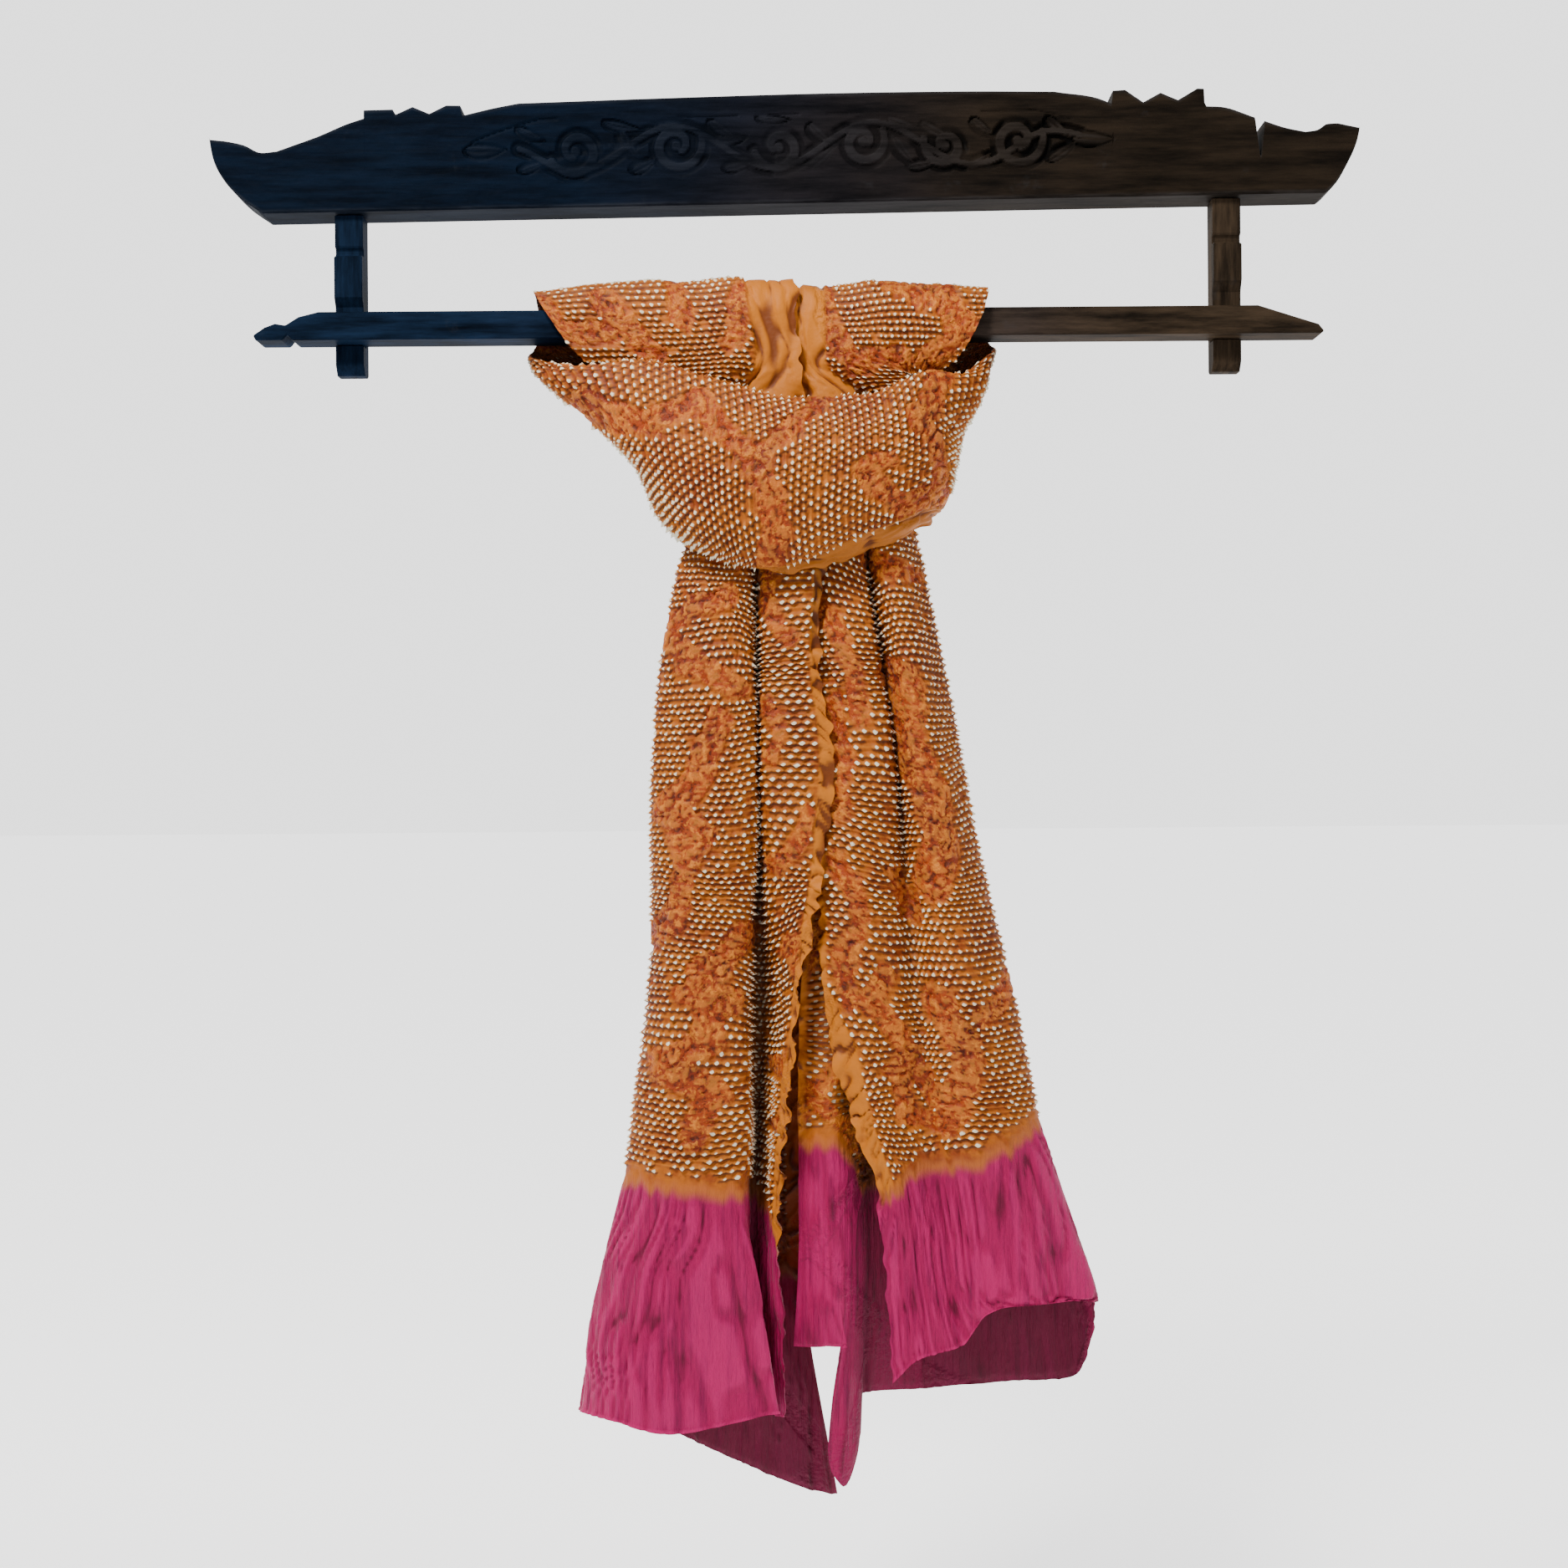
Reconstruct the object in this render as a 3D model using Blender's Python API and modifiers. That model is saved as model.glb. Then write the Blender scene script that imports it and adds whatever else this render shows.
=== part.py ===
"""A long tie-dyed bandhani scarf, hung in a cow hitch over the bar of a carved wooden wall hanger.

The frame is metres with +Z up and the wall at Y = 0, behind the hanger. The origin is on the board's
flat back, 4 mm left of its middle. Every size below is in millimetres.
"""

import collections
import math

import bmesh
import bpy
import numpy as np

MM = 0.001
FIT_GAP = 0.3

BOARD_THICK = 30
BOARD_MIDDLE = 3.6
BOARD_TILT = math.radians(0.7)
BOARD_UNDERSIDE = -34.6
BOARD_EDGE_ROUND = 1.2

BAR_TOP = -119.7
BAR_HEIGHT = 21.8
BAR_FRONT = -40
BAR_DEPTH = 25
BAR_BOTTOM = BAR_TOP - BAR_HEIGHT
BAR_BACK = BAR_FRONT + BAR_DEPTH

POST_WIDE = 22
POST_FRONT = -24
POST_BACK = -6
POST_BLOCK_PROUD = 3
EDGE_ROUND = 0.8

CLOTH_THICK = 2.0
CLOTH_COLUMNS = 30
TAIL_STEP = 40
HITCH_STEP = 22

# The board's edge, clockwise from its lower left corner, as runs of (x, z) points in the board's own
# upright frame. A smooth run is a curve through its points and a straight run has corners at them.
BOARD_RUNS = (
    ("left end", "smooth", ((-409, -34.6), (-425, -23), (-436, -11.6), (-446, 6.3), (-449.3, 24))),
    ("left scroll", "smooth", ((-449.3, 24), (-434, 22), (-422, 18.9), (-410, 13.1), (-397, 13.8))),
    ("left rise", "smooth", ((-397, 13.8), (-386, 17.5), (-364, 25), (-341, 34.3), (-328, 38.3))),
    ("left crest", "straight", ((-328, 44.7), (-305.5, 44.9), (-303.6, 40.7), (-290, 46.6))),
    ("left crest end", "straight", ((-277, 40.9), (-263.6, 47.2), (-252.6, 46.9), (-250.6, 39))),
    ("left shoulder", "smooth", ((-250.6, 39), (-226, 44.4), (-207, 47.7))),
    ("top", "smooth", ((-207, 47.7), (-84, 49.7), (30, 50.9), (140, 50.4), (212.5, 48.8))),
    ("right shoulder", "smooth", ((212.5, 48.8), (252, 40.8), (256.8, 38.4))),
    ("right crest", "straight", ((258.3, 48.6), (268, 49), (282, 39.1), (295.6, 46.3), (309.2, 40.3))),
    ("right crest end", "straight", ((324.4, 49), (329.4, 48.8), (329.7, 38.6), (331.4, 35))),
    ("right fall", "smooth", ((331.4, 35), (343.7, 34.2), (368.3, 25.8), (394.3, 16.6), (408.5, 13.5))),
    ("right scroll", "smooth", ((408.5, 13.5), (418, 14.9), (426, 19.4), (433.9, 19.7))),
    ("right tip", "straight", ((450.7, 15.9), (449.7, 9.4))),
    ("right end", "smooth", ((449.7, 9.4), (441, -11.4), (425, -33.3), (423, -34.6))),
)
# The open crack in the board's right end, as (x of its middle, z, width) from its mouth to its tip.
BOARD_CRACK = ((372, 27, 8.2), (374.5, 15, 6.4), (374, 6, 4.2), (371.5, -4, 1.2))

# The bar's front outline, clockwise from the lower left, with a notched knob at its left end.
BAR_OUTLINE = (
    (-408, BAR_BOTTOM),
    (-410, -137.6),
    (-401, -131.5),
    (-393, -128.6),
    (-385, -130),
    (-374.6, -123.5),
    (-359, BAR_TOP),
    (371, BAR_TOP),
    (403, -129.9),
    (418, -134.6),
    (422.4, BAR_BOTTOM + 1.5),
    (420, BAR_BOTTOM),
    (-379.5, BAR_BOTTOM),
    (-383.3, -137),
    (-387, BAR_BOTTOM),
)

# Each post, by the x of its middle and the z of its groove, its block's bevel and its foot.
Post = collections.namedtuple("Post", "name x groove block_end bevel_end foot")
POSTS = (
    Post("post_left", -338.7, -67.8, -105, -112, -165),
    Post("post_right", 350.8, -62.5, -97, -105, -166.5),
)

# A tail hangs in folds. Its levels are heights, and the hem comes below the last of them.
LEVELS = (-195, -262, -330, -390, -470, -570, -660, -740, -800, -880)

# One fold line of a tail. "across" runs over the cloth's width, from 0 at the selvedge in the middle of the
# front to 1 at the selvedge behind. x and y have a place for each level and one for the hem.
Fold = collections.namedtuple("Fold", "across x y hem")
LEFT_FOLDS = {
    "front selvedge": Fold(
        0.00,
        (18, 31, 32, 28, 38, 26, 10, 2, -5, -4, -1),
        (-58, -69, -73, -74, -75, -75, -75, -74, -72, -68, -66),
        -972,
    ),
    "ridge": Fold(
        0.05,
        (-4, 13, 16, 14, 20, 13, 3, -5, -10, -9, -5),
        (-56, -69, -75, -76, -77, -74, -68, -64, -62, -60, -58),
        -973,
    ),
    "ridge side": Fold(
        0.10,
        (-24, -6, -13, -15, -13, -8, -4, -10, -14, -18, -14),
        (-53, -64, -68, -70, -70, -65, -57, -54, -52, -50, -50),
        -975,
    ),
    "deep valley": Fold(
        0.18,
        (-41, -16, -20, -20, -20, -20, -21, -24, -28, -34, -36),
        (-43, -50, -50, -48, -46, -44, -42, -42, -42, -40, -40),
        -978,
    ),
    "panel edge": Fold(
        0.26,
        (-58, -26, -27, -26, -26, -29, -33, -32, -36, -22, -8),
        (-52, -62, -68, -70, -71, -72, -73, -75, -78, -82, -86),
        -962,
    ),
    "panel middle": Fold(
        0.36,
        (-82, -42, -45, -48, -53, -58, -62, -69, -77, -84, -84),
        (-56, -66, -72, -74, -76, -78, -79, -80, -82, -85, -88),
        -976,
    ),
    "panel outer": Fold(
        0.45,
        (-108, -56, -65, -73, -80, -84, -88, -96, -104, -120, -132),
        (-54, -60, -64, -66, -68, -70, -72, -73, -75, -78, -80),
        -968,
    ),
    "outer fold": Fold(
        0.53,
        (-128, -64, -82, -93, -100, -102, -107, -117, -126, -147, -164),
        (-46, -48, -48, -48, -48, -48, -48, -48, -50, -50, -50),
        -970,
    ),
    "back outer": Fold(
        0.62,
        (-130, -55, -66, -76, -85, -88, -92, -100, -106, -115, -122),
        (-37, -35, -33, -30, -28, -27, -26, -26, -26, -26, -26),
        -983,
    ),
    "back": Fold(
        0.73,
        (-119, -37, -42, -48, -54, -56, -58, -62, -64, -66, -66),
        (-33, -32, -30, -27, -25, -24, -23, -22, -21, -20, -19),
        -1011,
    ),
    "back inner": Fold(
        0.83,
        (-107, -19, -18, -22, -24, -26, -27, -28, -28, -28, -27),
        (-32, -32, -31, -28, -26, -25, -24, -23, -22, -21, -19),
        -1029,
    ),
    "back edge": Fold(
        0.92,
        (-97, -4, 0, -2, -2, -3, -4, -6, -8, -6, 12),
        (-32, -33, -32, -29, -27, -26, -25, -24, -23, -21, -19),
        -1045,
    ),
    "back selvedge": Fold(
        1.00,
        (-88, 7, 14, 14, 16, 16, 14, 12, 10, 12, 38),
        (-32, -34, -33, -30, -28, -27, -26, -25, -24, -22, -20),
        -1049,
    ),
}
RIGHT_FOLDS = {
    "front selvedge": Fold(
        0.00,
        (14, 20, 25, 23, 28, 26, 30, 48, 69, 76, 80),
        (-50, -57, -60, -61, -62, -62, -62, -64, -66, -66, -66),
        -948,
    ),
    "ridge": Fold(
        0.05,
        (32, 40, 44, 44, 50, 52, 55, 66, 83, 91, 97),
        (-54, -65, -69, -70, -71, -71, -71, -71, -71, -70, -70),
        -930,
    ),
    "ridge side": Fold(
        0.12,
        (52, 58, 61, 68, 77, 79, 80, 86, 97, 107, 113),
        (-54, -64, -68, -68, -68, -67, -66, -66, -67, -68, -69),
        -924,
    ),
    "deep valley": Fold(
        0.18,
        (66, 64, 66, 76, 86, 94, 100, 106, 113, 124, 136),
        (-44, -48, -48, -48, -50, -53, -56, -58, -60, -60, -60),
        -918,
    ),
    "panel edge": Fold(
        0.24,
        (80, 71, 73, 84, 94, 108, 117, 122, 131, 142, 152),
        (-52, -62, -66, -66, -67, -67, -67, -67, -68, -70, -73),
        -892,
    ),
    "panel middle": Fold(
        0.33,
        (100, 84, 84, 95, 109, 124, 136, 147, 156, 168, 172),
        (-54, -66, -72, -73, -74, -74, -74, -74, -75, -77, -78),
        -885,
    ),
    "panel outer": Fold(
        0.42,
        (120, 94, 99, 110, 124, 140, 157, 171, 183, 204, 203),
        (-52, -60, -62, -63, -64, -65, -66, -66, -67, -68, -70),
        -885,
    ),
    "outer fold": Fold(
        0.50,
        (131, 101, 110, 122, 138, 156, 176, 192, 208, 236, 233),
        (-45, -46, -46, -46, -46, -46, -47, -48, -48, -50, -52),
        -889,
    ),
    "back outer": Fold(
        0.60,
        (127, 92, 98, 110, 124, 140, 158, 174, 190, 218, 224),
        (-36, -33, -31, -29, -27, -26, -26, -26, -26, -26, -27),
        -957,
    ),
    "back": Fold(
        0.69,
        (115, 78, 80, 90, 102, 114, 128, 140, 150, 170, 179),
        (-32, -30, -28, -25, -23, -22, -22, -21, -21, -21, -22),
        -963,
    ),
    "back inner": Fold(
        0.77,
        (104, 67, 66, 72, 80, 86, 92, 98, 102, 106, 104),
        (-31, -31, -29, -26, -24, -23, -22, -22, -22, -22, -23),
        -968,
    ),
    "back turn": Fold(
        0.82,
        (94, 58, 57, 61, 65, 67, 68, 69, 69, 65, 58),
        (-31, -33, -32, -30, -28, -28, -28, -28, -28, -28, -29),
        -969,
    ),
    "low side": Fold(
        0.86,
        (90, 55, 54, 57, 59, 60, 60, 60, 60, 58, 54),
        (-31, -35, -34, -34, -33, -34, -35, -36, -36, -36, -36),
        -1012,
    ),
    "low point": Fold(
        0.89,
        (86, 52, 50, 53, 54, 53, 53, 53, 52, 51, 39),
        (-32, -37, -38, -39, -40, -42, -44, -45, -45, -45, -44),
        -1036,
    ),
    "low inner": Fold(
        0.905,
        (84, 50, 49, 51, 50, 49, 47, 47, 46, 47, 29),
        (-33, -39, -41, -43, -45, -47, -49, -50, -51, -51, -49),
        -1006,
    ),
    "inner panel edge": Fold(
        0.92,
        (81, 48, 47, 48, 46, 44, 41, 40, 40, 42, 42),
        (-34, -41, -44, -47, -49, -52, -54, -56, -57, -57, -56),
        -923,
    ),
    "back selvedge": Fold(
        1.00,
        (72, 42, 38, 35, 29, 20, 11, 9, 9, 7, 4),
        (-35, -44, -49, -52, -53, -51, -49, -49, -50, -50, -51),
        -924,
    ),
}

# The hitch, from below the bar up over it, down behind it and round to the side of the front scoop. Each
# row gives a line across the cloth by its (x, y, z) at the inner edge, the middle and the outer edge.
HITCH_ACROSS = (0.0, 0.5, 1.0)
LEFT_HITCH = {
    "below the bar": ((15, -57, -160), (-76, -55, -162), (-152, -45, -160)),
    "bar front": ((13, -57, -126), (-85, -53, -128), (-179, -48, -127)),
    "bar top front": ((12, -41, -98), (-92, -39, -99), (-191, -38, -107)),
    "bar top back": ((11, -13, -101), (-91, -14, -103), (-192, -14, -112)),
    "bar back": ((10, -7.5, -150), (-90, -10.5, -140), (-192, -11, -127)),
    "back middle": ((-16, -10, -236), (-98, -11, -180), (-193, -12, -138)),
    "back low": ((-50, -15, -292), (-112, -16, -214), (-195, -18, -146)),
}
RIGHT_HITCH = {
    "below the bar": ((6, -49, -160), (76, -55, -162), (136, -45, -160)),
    "bar front": ((5, -49, -126), (80, -53, -128), (156, -48, -127)),
    "bar top front": ((4, -38, -103), (84, -39, -102), (161, -38, -107)),
    "bar top back": ((3, -16, -106), (84, -14, -105), (161, -14, -111)),
    "bar back": ((2, -11.5, -150), (84, -11, -140), (162, -11, -127)),
    "back middle": ((34, -11, -234), (106, -11, -180), (164, -12, -138)),
    "back low": ((84, -15, -286), (130, -16, -212), (166, -18, -145)),
}

# The scoop that holds the tails, from its left side round the front to its right side. Each row goes from
# the lower edge up over the belly to the lip and the edge that is rolled in behind it.
SCOOP_ACROSS = (0.0, 0.15, 0.40, 0.65, 0.85, 1.0)
SCOOP = {
    "left side": (
        (-78, -46, -297),
        (-92, -50, -279),
        (-112, -52, -240),
        (-147, -50, -206),
        (-183, -43, -174),
        (-195, -33, -153),
    ),
    "left front": (
        (-57, -70, -314),
        (-72, -82, -299),
        (-92, -88, -255),
        (-105, -86, -206),
        (-110, -73, -168),
        (-104, -65, -186),
    ),
    "left of centre": (
        (-34, -78, -324),
        (-42, -94, -309),
        (-50, -106, -262),
        (-54, -100, -214),
        (-54, -84, -183),
        (-52, -73, -207),
    ),
    "centre": (
        (6, -80, -329),
        (6, -96, -315),
        (6, -110, -268),
        (6, -103, -222),
        (6, -88, -199),
        (6, -75, -224),
    ),
    "right of centre": (
        (60, -78, -315),
        (62, -93, -301),
        (64, -106, -262),
        (64, -101, -222),
        (62, -87, -198),
        (60, -75, -222),
    ),
    "right front": (
        (98, -68, -298),
        (107, -80, -283),
        (117, -86, -250),
        (119, -84, -212),
        (115, -73, -178),
        (109, -65, -199),
    ),
    "right side": (
        (112, -46, -288),
        (123, -50, -275),
        (133, -52, -245),
        (143, -50, -212),
        (157, -43, -178),
        (166, -33, -150),
    ),
}

# Name: (colour, roughness, metallic)
FINISHES = {
    "dark_wood": ((0.020, 0.022, 0.028, 1), 0.55, 0.0),
    "dyed_silk": ((0.55, 0.19, 0.045, 1), 0.70, 0.0),
}


def clear_scene():
    for thing in list(bpy.data.objects):
        bpy.data.objects.remove(thing, do_unlink=True)


def new_collection(name, helper=False):
    collection = bpy.data.collections.new(name)
    bpy.context.scene.collection.children.link(collection)
    collection.hide_render = helper
    return collection


def finish_for(node, name):
    """A Principled material of the node's own, with the named finish."""
    colour, roughness, metallic = FINISHES[name]
    material = bpy.data.materials.new(node + "_" + name)
    material.use_nodes = True
    shader = material.node_tree.nodes["Principled BSDF"]
    shader.inputs["Base Color"].default_value = colour
    shader.inputs["Roughness"].default_value = roughness
    shader.inputs["Metallic"].default_value = metallic
    material.diffuse_color = colour
    return material


def smooth(knots, points, places):
    """A cubic curve through the points, read at the given places along its knots."""
    knots, points = np.asarray(knots, float), np.asarray(points, float)
    steps = np.diff(knots)[:, None]
    slopes = np.diff(points, axis=0) / steps
    inner = (slopes[:-1] * steps[1:] + slopes[1:] * steps[:-1]) / (steps[1:] + steps[:-1])
    tangents = np.vstack([slopes[:1], inner, slopes[-1:]])
    at = np.clip(np.searchsorted(knots, places, side="right") - 1, 0, len(knots) - 2)
    span = steps[at]
    s = ((places - knots[at])[:, None]) / span
    start = (1 + 2 * s) * (1 - s) ** 2 * points[at] + s * (1 - s) ** 2 * span * tangents[at]
    end = s * s * (3 - 2 * s) * points[at + 1] + s * s * (s - 1) * span * tangents[at + 1]
    return start + end


def curve_through(points, steps=3):
    """Points along a smooth curve through the given ones, with some steps between each two."""
    points = np.asarray(points, float)
    knots = np.concatenate([[0], np.cumsum(np.linalg.norm(np.diff(points, axis=0), axis=1))])
    places = np.interp(np.arange((len(points) - 1) * steps + 1) / steps, range(len(points)), knots)
    return [tuple(point) for point in smooth(knots, points, places)]


def extruded(name, outline, thick, location, rotation, collection):
    """A flat outline in millimetres, filled and extruded to its thickness, as a mesh object."""
    curve = bpy.data.curves.new(name + "_outline", "CURVE")
    curve.dimensions = "2D"
    curve.fill_mode = "BOTH"
    curve.extrude = thick * MM / 2
    spline = curve.splines.new("POLY")
    spline.points.add(len(outline) - 1)
    for point, (x, y) in zip(spline.points, outline):
        point.co = (x * MM, y * MM, 0, 1)
    spline.use_cyclic_u = True
    drawn = bpy.data.objects.new(name + "_outline", curve)
    collection.objects.link(drawn)
    drawn.location = [value * MM for value in location]
    drawn.rotation_euler = rotation
    bpy.context.view_layer.update()
    graph = bpy.context.evaluated_depsgraph_get()
    mesh = bpy.data.meshes.new_from_object(drawn.evaluated_get(graph))
    mesh.name = name
    welded = bmesh.new()
    welded.from_mesh(mesh)
    bmesh.ops.remove_doubles(welded, verts=welded.verts, dist=1e-6)
    bmesh.ops.recalc_face_normals(welded, faces=welded.faces)
    welded.to_mesh(mesh)
    welded.free()
    solid = bpy.data.objects.new(name, mesh)
    solid.matrix_world = drawn.matrix_world
    collection.objects.link(solid)
    bpy.data.objects.remove(drawn, do_unlink=True)
    return solid


def eased(solid, width):
    """Rounds the solid's sharp edges a little."""
    bevel = solid.modifiers.new("eased edges", "BEVEL")
    bevel.width = width * MM
    bevel.segments = 1
    bevel.limit_method = "ANGLE"
    bevel.angle_limit = math.radians(40)


def board_outline():
    outline = []
    for _, kind, points in BOARD_RUNS:
        run = curve_through(points) if kind == "smooth" else list(points)
        if outline and np.allclose(outline[-1], run[0]):
            run = run[1:]
        outline += run
    return outline


def make_board(parts, helpers):
    upright = (math.pi / 2, -BOARD_TILT, 0)
    middle = (BOARD_MIDDLE, -BOARD_THICK / 2, 0)
    board = extruded("top_board", board_outline(), BOARD_THICK, middle, upright, parts)
    left = [(x - wide / 2, z) for x, z, wide in BOARD_CRACK]
    right = [(x + wide / 2, z) for x, z, wide in reversed(BOARD_CRACK)]
    crack = extruded("crack_cutter", left + right, BOARD_THICK + 4, middle, upright, helpers)
    crack.hide_render = True
    crack.display_type = "WIRE"
    cut = board.modifiers.new("crack", "BOOLEAN")
    cut.operation = "DIFFERENCE"
    cut.object = crack
    eased(board, BOARD_EDGE_ROUND)
    board.data.materials.append(finish_for("top_board", "dark_wood"))


def make_post(post, parts):
    """A post drawn from its side: neck, groove, proud block, notch for the bar and eased foot."""
    top = BOARD_UNDERSIDE + (post.x - BOARD_MIDDLE) * math.sin(BOARD_TILT) - 2 * FIT_GAP
    notch_back = BAR_BACK + FIT_GAP
    notch_top = BAR_TOP + FIT_GAP
    notch_bottom = BAR_BOTTOM - FIT_GAP
    proud = POST_FRONT - POST_BLOCK_PROUD
    side = (
        (POST_FRONT, top),
        (POST_BACK, top),
        (POST_BACK, post.foot + 2),
        (POST_BACK - 2, post.foot),
        (POST_FRONT + 5, post.foot),
        (POST_FRONT, post.foot + 7),
        (POST_FRONT, notch_bottom),
        (notch_back, notch_bottom),
        (notch_back, notch_top),
        (POST_FRONT + 1, notch_top),
        (POST_FRONT + 1, post.bevel_end),
        (proud, post.block_end),
        (proud, post.groove - 5),
        (POST_FRONT + 2.5, post.groove - 3),
        (POST_FRONT + 2.5, post.groove + 1),
        (POST_FRONT, post.groove + 3),
    )
    sideways = (math.pi / 2, 0, math.pi / 2)
    solid = extruded(post.name, side, POST_WIDE, (post.x, 0, 0), sideways, parts)
    eased(solid, EDGE_ROUND)
    solid.data.materials.append(finish_for(post.name, "dark_wood"))


def make_bar(parts):
    middle = (0, (BAR_FRONT + BAR_BACK) / 2, 0)
    bar = extruded("crossbar", BAR_OUTLINE, BAR_DEPTH, middle, (math.pi / 2, 0, 0), parts)
    eased(bar, EDGE_ROUND)
    bar.data.materials.append(finish_for("crossbar", "dark_wood"))


def tail_sections(folds, across):
    """The lines across a tail, from under the scoop down to the hem, read at the places across."""
    knots = [fold.across for fold in folds.values()]
    sections = []
    for place in range(len(LEVELS) + 1):
        points = []
        for fold in folds.values():
            height = LEVELS[place] if place < len(LEVELS) else fold.hem
            points.append((fold.x[place], fold.y[place], height))
        sections.append(smooth(knots, points, across))
    return sections


def cloth_sections(across):
    """All the lines across the scarf, from the left hem, through the hitch, to the right hem."""
    left = [smooth(HITCH_ACROSS, row, across) for row in LEFT_HITCH.values()]
    scoop = [smooth(SCOOP_ACROSS, row, across) for row in SCOOP.values()]
    right = [smooth(HITCH_ACROSS, row, across) for row in RIGHT_HITCH.values()]
    left_tail = tail_sections(LEFT_FOLDS, across)
    right_tail = tail_sections(RIGHT_FOLDS, across)
    return left_tail[::-1] + left + scoop + right[::-1] + right_tail


def cloth_grid():
    """The scarf's middle surface, as rows of points along its length, in metres."""
    sections = np.array(cloth_sections(np.linspace(0, 1, CLOTH_COLUMNS + 1)))
    lengths = np.linalg.norm(np.diff(sections, axis=0), axis=2).mean(axis=1)
    knots = np.concatenate([[0], np.cumsum(lengths)])
    tail = len(LEVELS)
    places = [0.0]
    for index, length in enumerate(lengths):
        in_tail = index < tail or index >= len(lengths) - tail
        count = max(1, round(length / (TAIL_STEP if in_tail else HITCH_STEP)))
        places += [knots[index] + length * (step + 1) / count for step in range(count)]
    flat = sections.reshape(len(sections), -1)
    grid = smooth(knots, flat, np.array(places)).reshape(len(places), -1, 3)
    return grid * MM


def make_scarf(parts):
    """The scarf as one sheet lofted through its sections and thickened to both sides."""
    grid = cloth_grid()
    rows, columns = grid.shape[:2]
    corners = np.arange(rows * columns).reshape(rows, columns)
    faces = np.stack([corners[:-1, :-1], corners[:-1, 1:], corners[1:, 1:], corners[1:, :-1]], axis=-1)
    mesh = bpy.data.meshes.new("scarf")
    mesh.from_pydata(grid.reshape(-1, 3).tolist(), [], faces.reshape(-1, 4).tolist())
    mesh.shade_smooth()
    scarf = bpy.data.objects.new("scarf", mesh)
    parts.objects.link(scarf)
    sheet = scarf.modifiers.new("thickness", "SOLIDIFY")
    sheet.thickness = CLOTH_THICK * MM
    sheet.offset = 0
    mesh.materials.append(finish_for("scarf", "dyed_silk"))


def main():
    clear_scene()
    parts = new_collection("bandhani_scarf_on_hanger")
    helpers = new_collection("cutters", helper=True)
    make_board(parts, helpers)
    for post in POSTS:
        make_post(post, parts)
    make_bar(parts)
    make_scarf(parts)


main()
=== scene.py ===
# %% [markdown]
# # A bandhani scarf on a carved wooden hanger
# The object is a long silk scarf, tied and dyed in thousands of small points, that hangs in a cow hitch
# over the bar of a dark carved hanger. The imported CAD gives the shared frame: metres, +Z up, the
# board's flat back at Y = 0, and the origin on that back. A lofted grid suits the cloth, because the tied
# points sit on a lattice along and across it. The posts and the bar stay as the CAD has them.

import collections
import functools
import math

import bpy
import numpy as np
from mathutils import Matrix


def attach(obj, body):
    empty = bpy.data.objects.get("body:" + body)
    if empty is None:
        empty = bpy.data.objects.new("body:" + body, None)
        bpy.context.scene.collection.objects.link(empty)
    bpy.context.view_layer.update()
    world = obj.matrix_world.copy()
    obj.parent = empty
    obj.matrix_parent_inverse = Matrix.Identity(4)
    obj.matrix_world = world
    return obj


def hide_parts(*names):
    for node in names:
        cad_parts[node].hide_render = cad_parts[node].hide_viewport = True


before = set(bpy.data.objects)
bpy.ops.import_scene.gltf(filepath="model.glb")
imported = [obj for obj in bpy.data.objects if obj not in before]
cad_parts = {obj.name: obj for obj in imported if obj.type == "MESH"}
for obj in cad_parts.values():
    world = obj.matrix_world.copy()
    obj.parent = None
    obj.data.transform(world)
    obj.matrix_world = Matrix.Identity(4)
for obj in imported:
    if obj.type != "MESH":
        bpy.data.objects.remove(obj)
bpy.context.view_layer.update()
MM = 0.001
print("nodes:", sorted(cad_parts))

# %% [markdown]
# ## The lie of the folds
# A scarf of this kind hangs in a few long folds that run from the hitch to the hem. They could be had from
# a cloth simulation, but then they would fall anywhere. Here each fold is a row of a table, read off the
# hanging cloth at a few heights, so the outline and the deep valleys stay where they are. "across" runs
# over the width, from 0 at the selvedge in the middle of the front to 1 at the selvedge behind.

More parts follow.
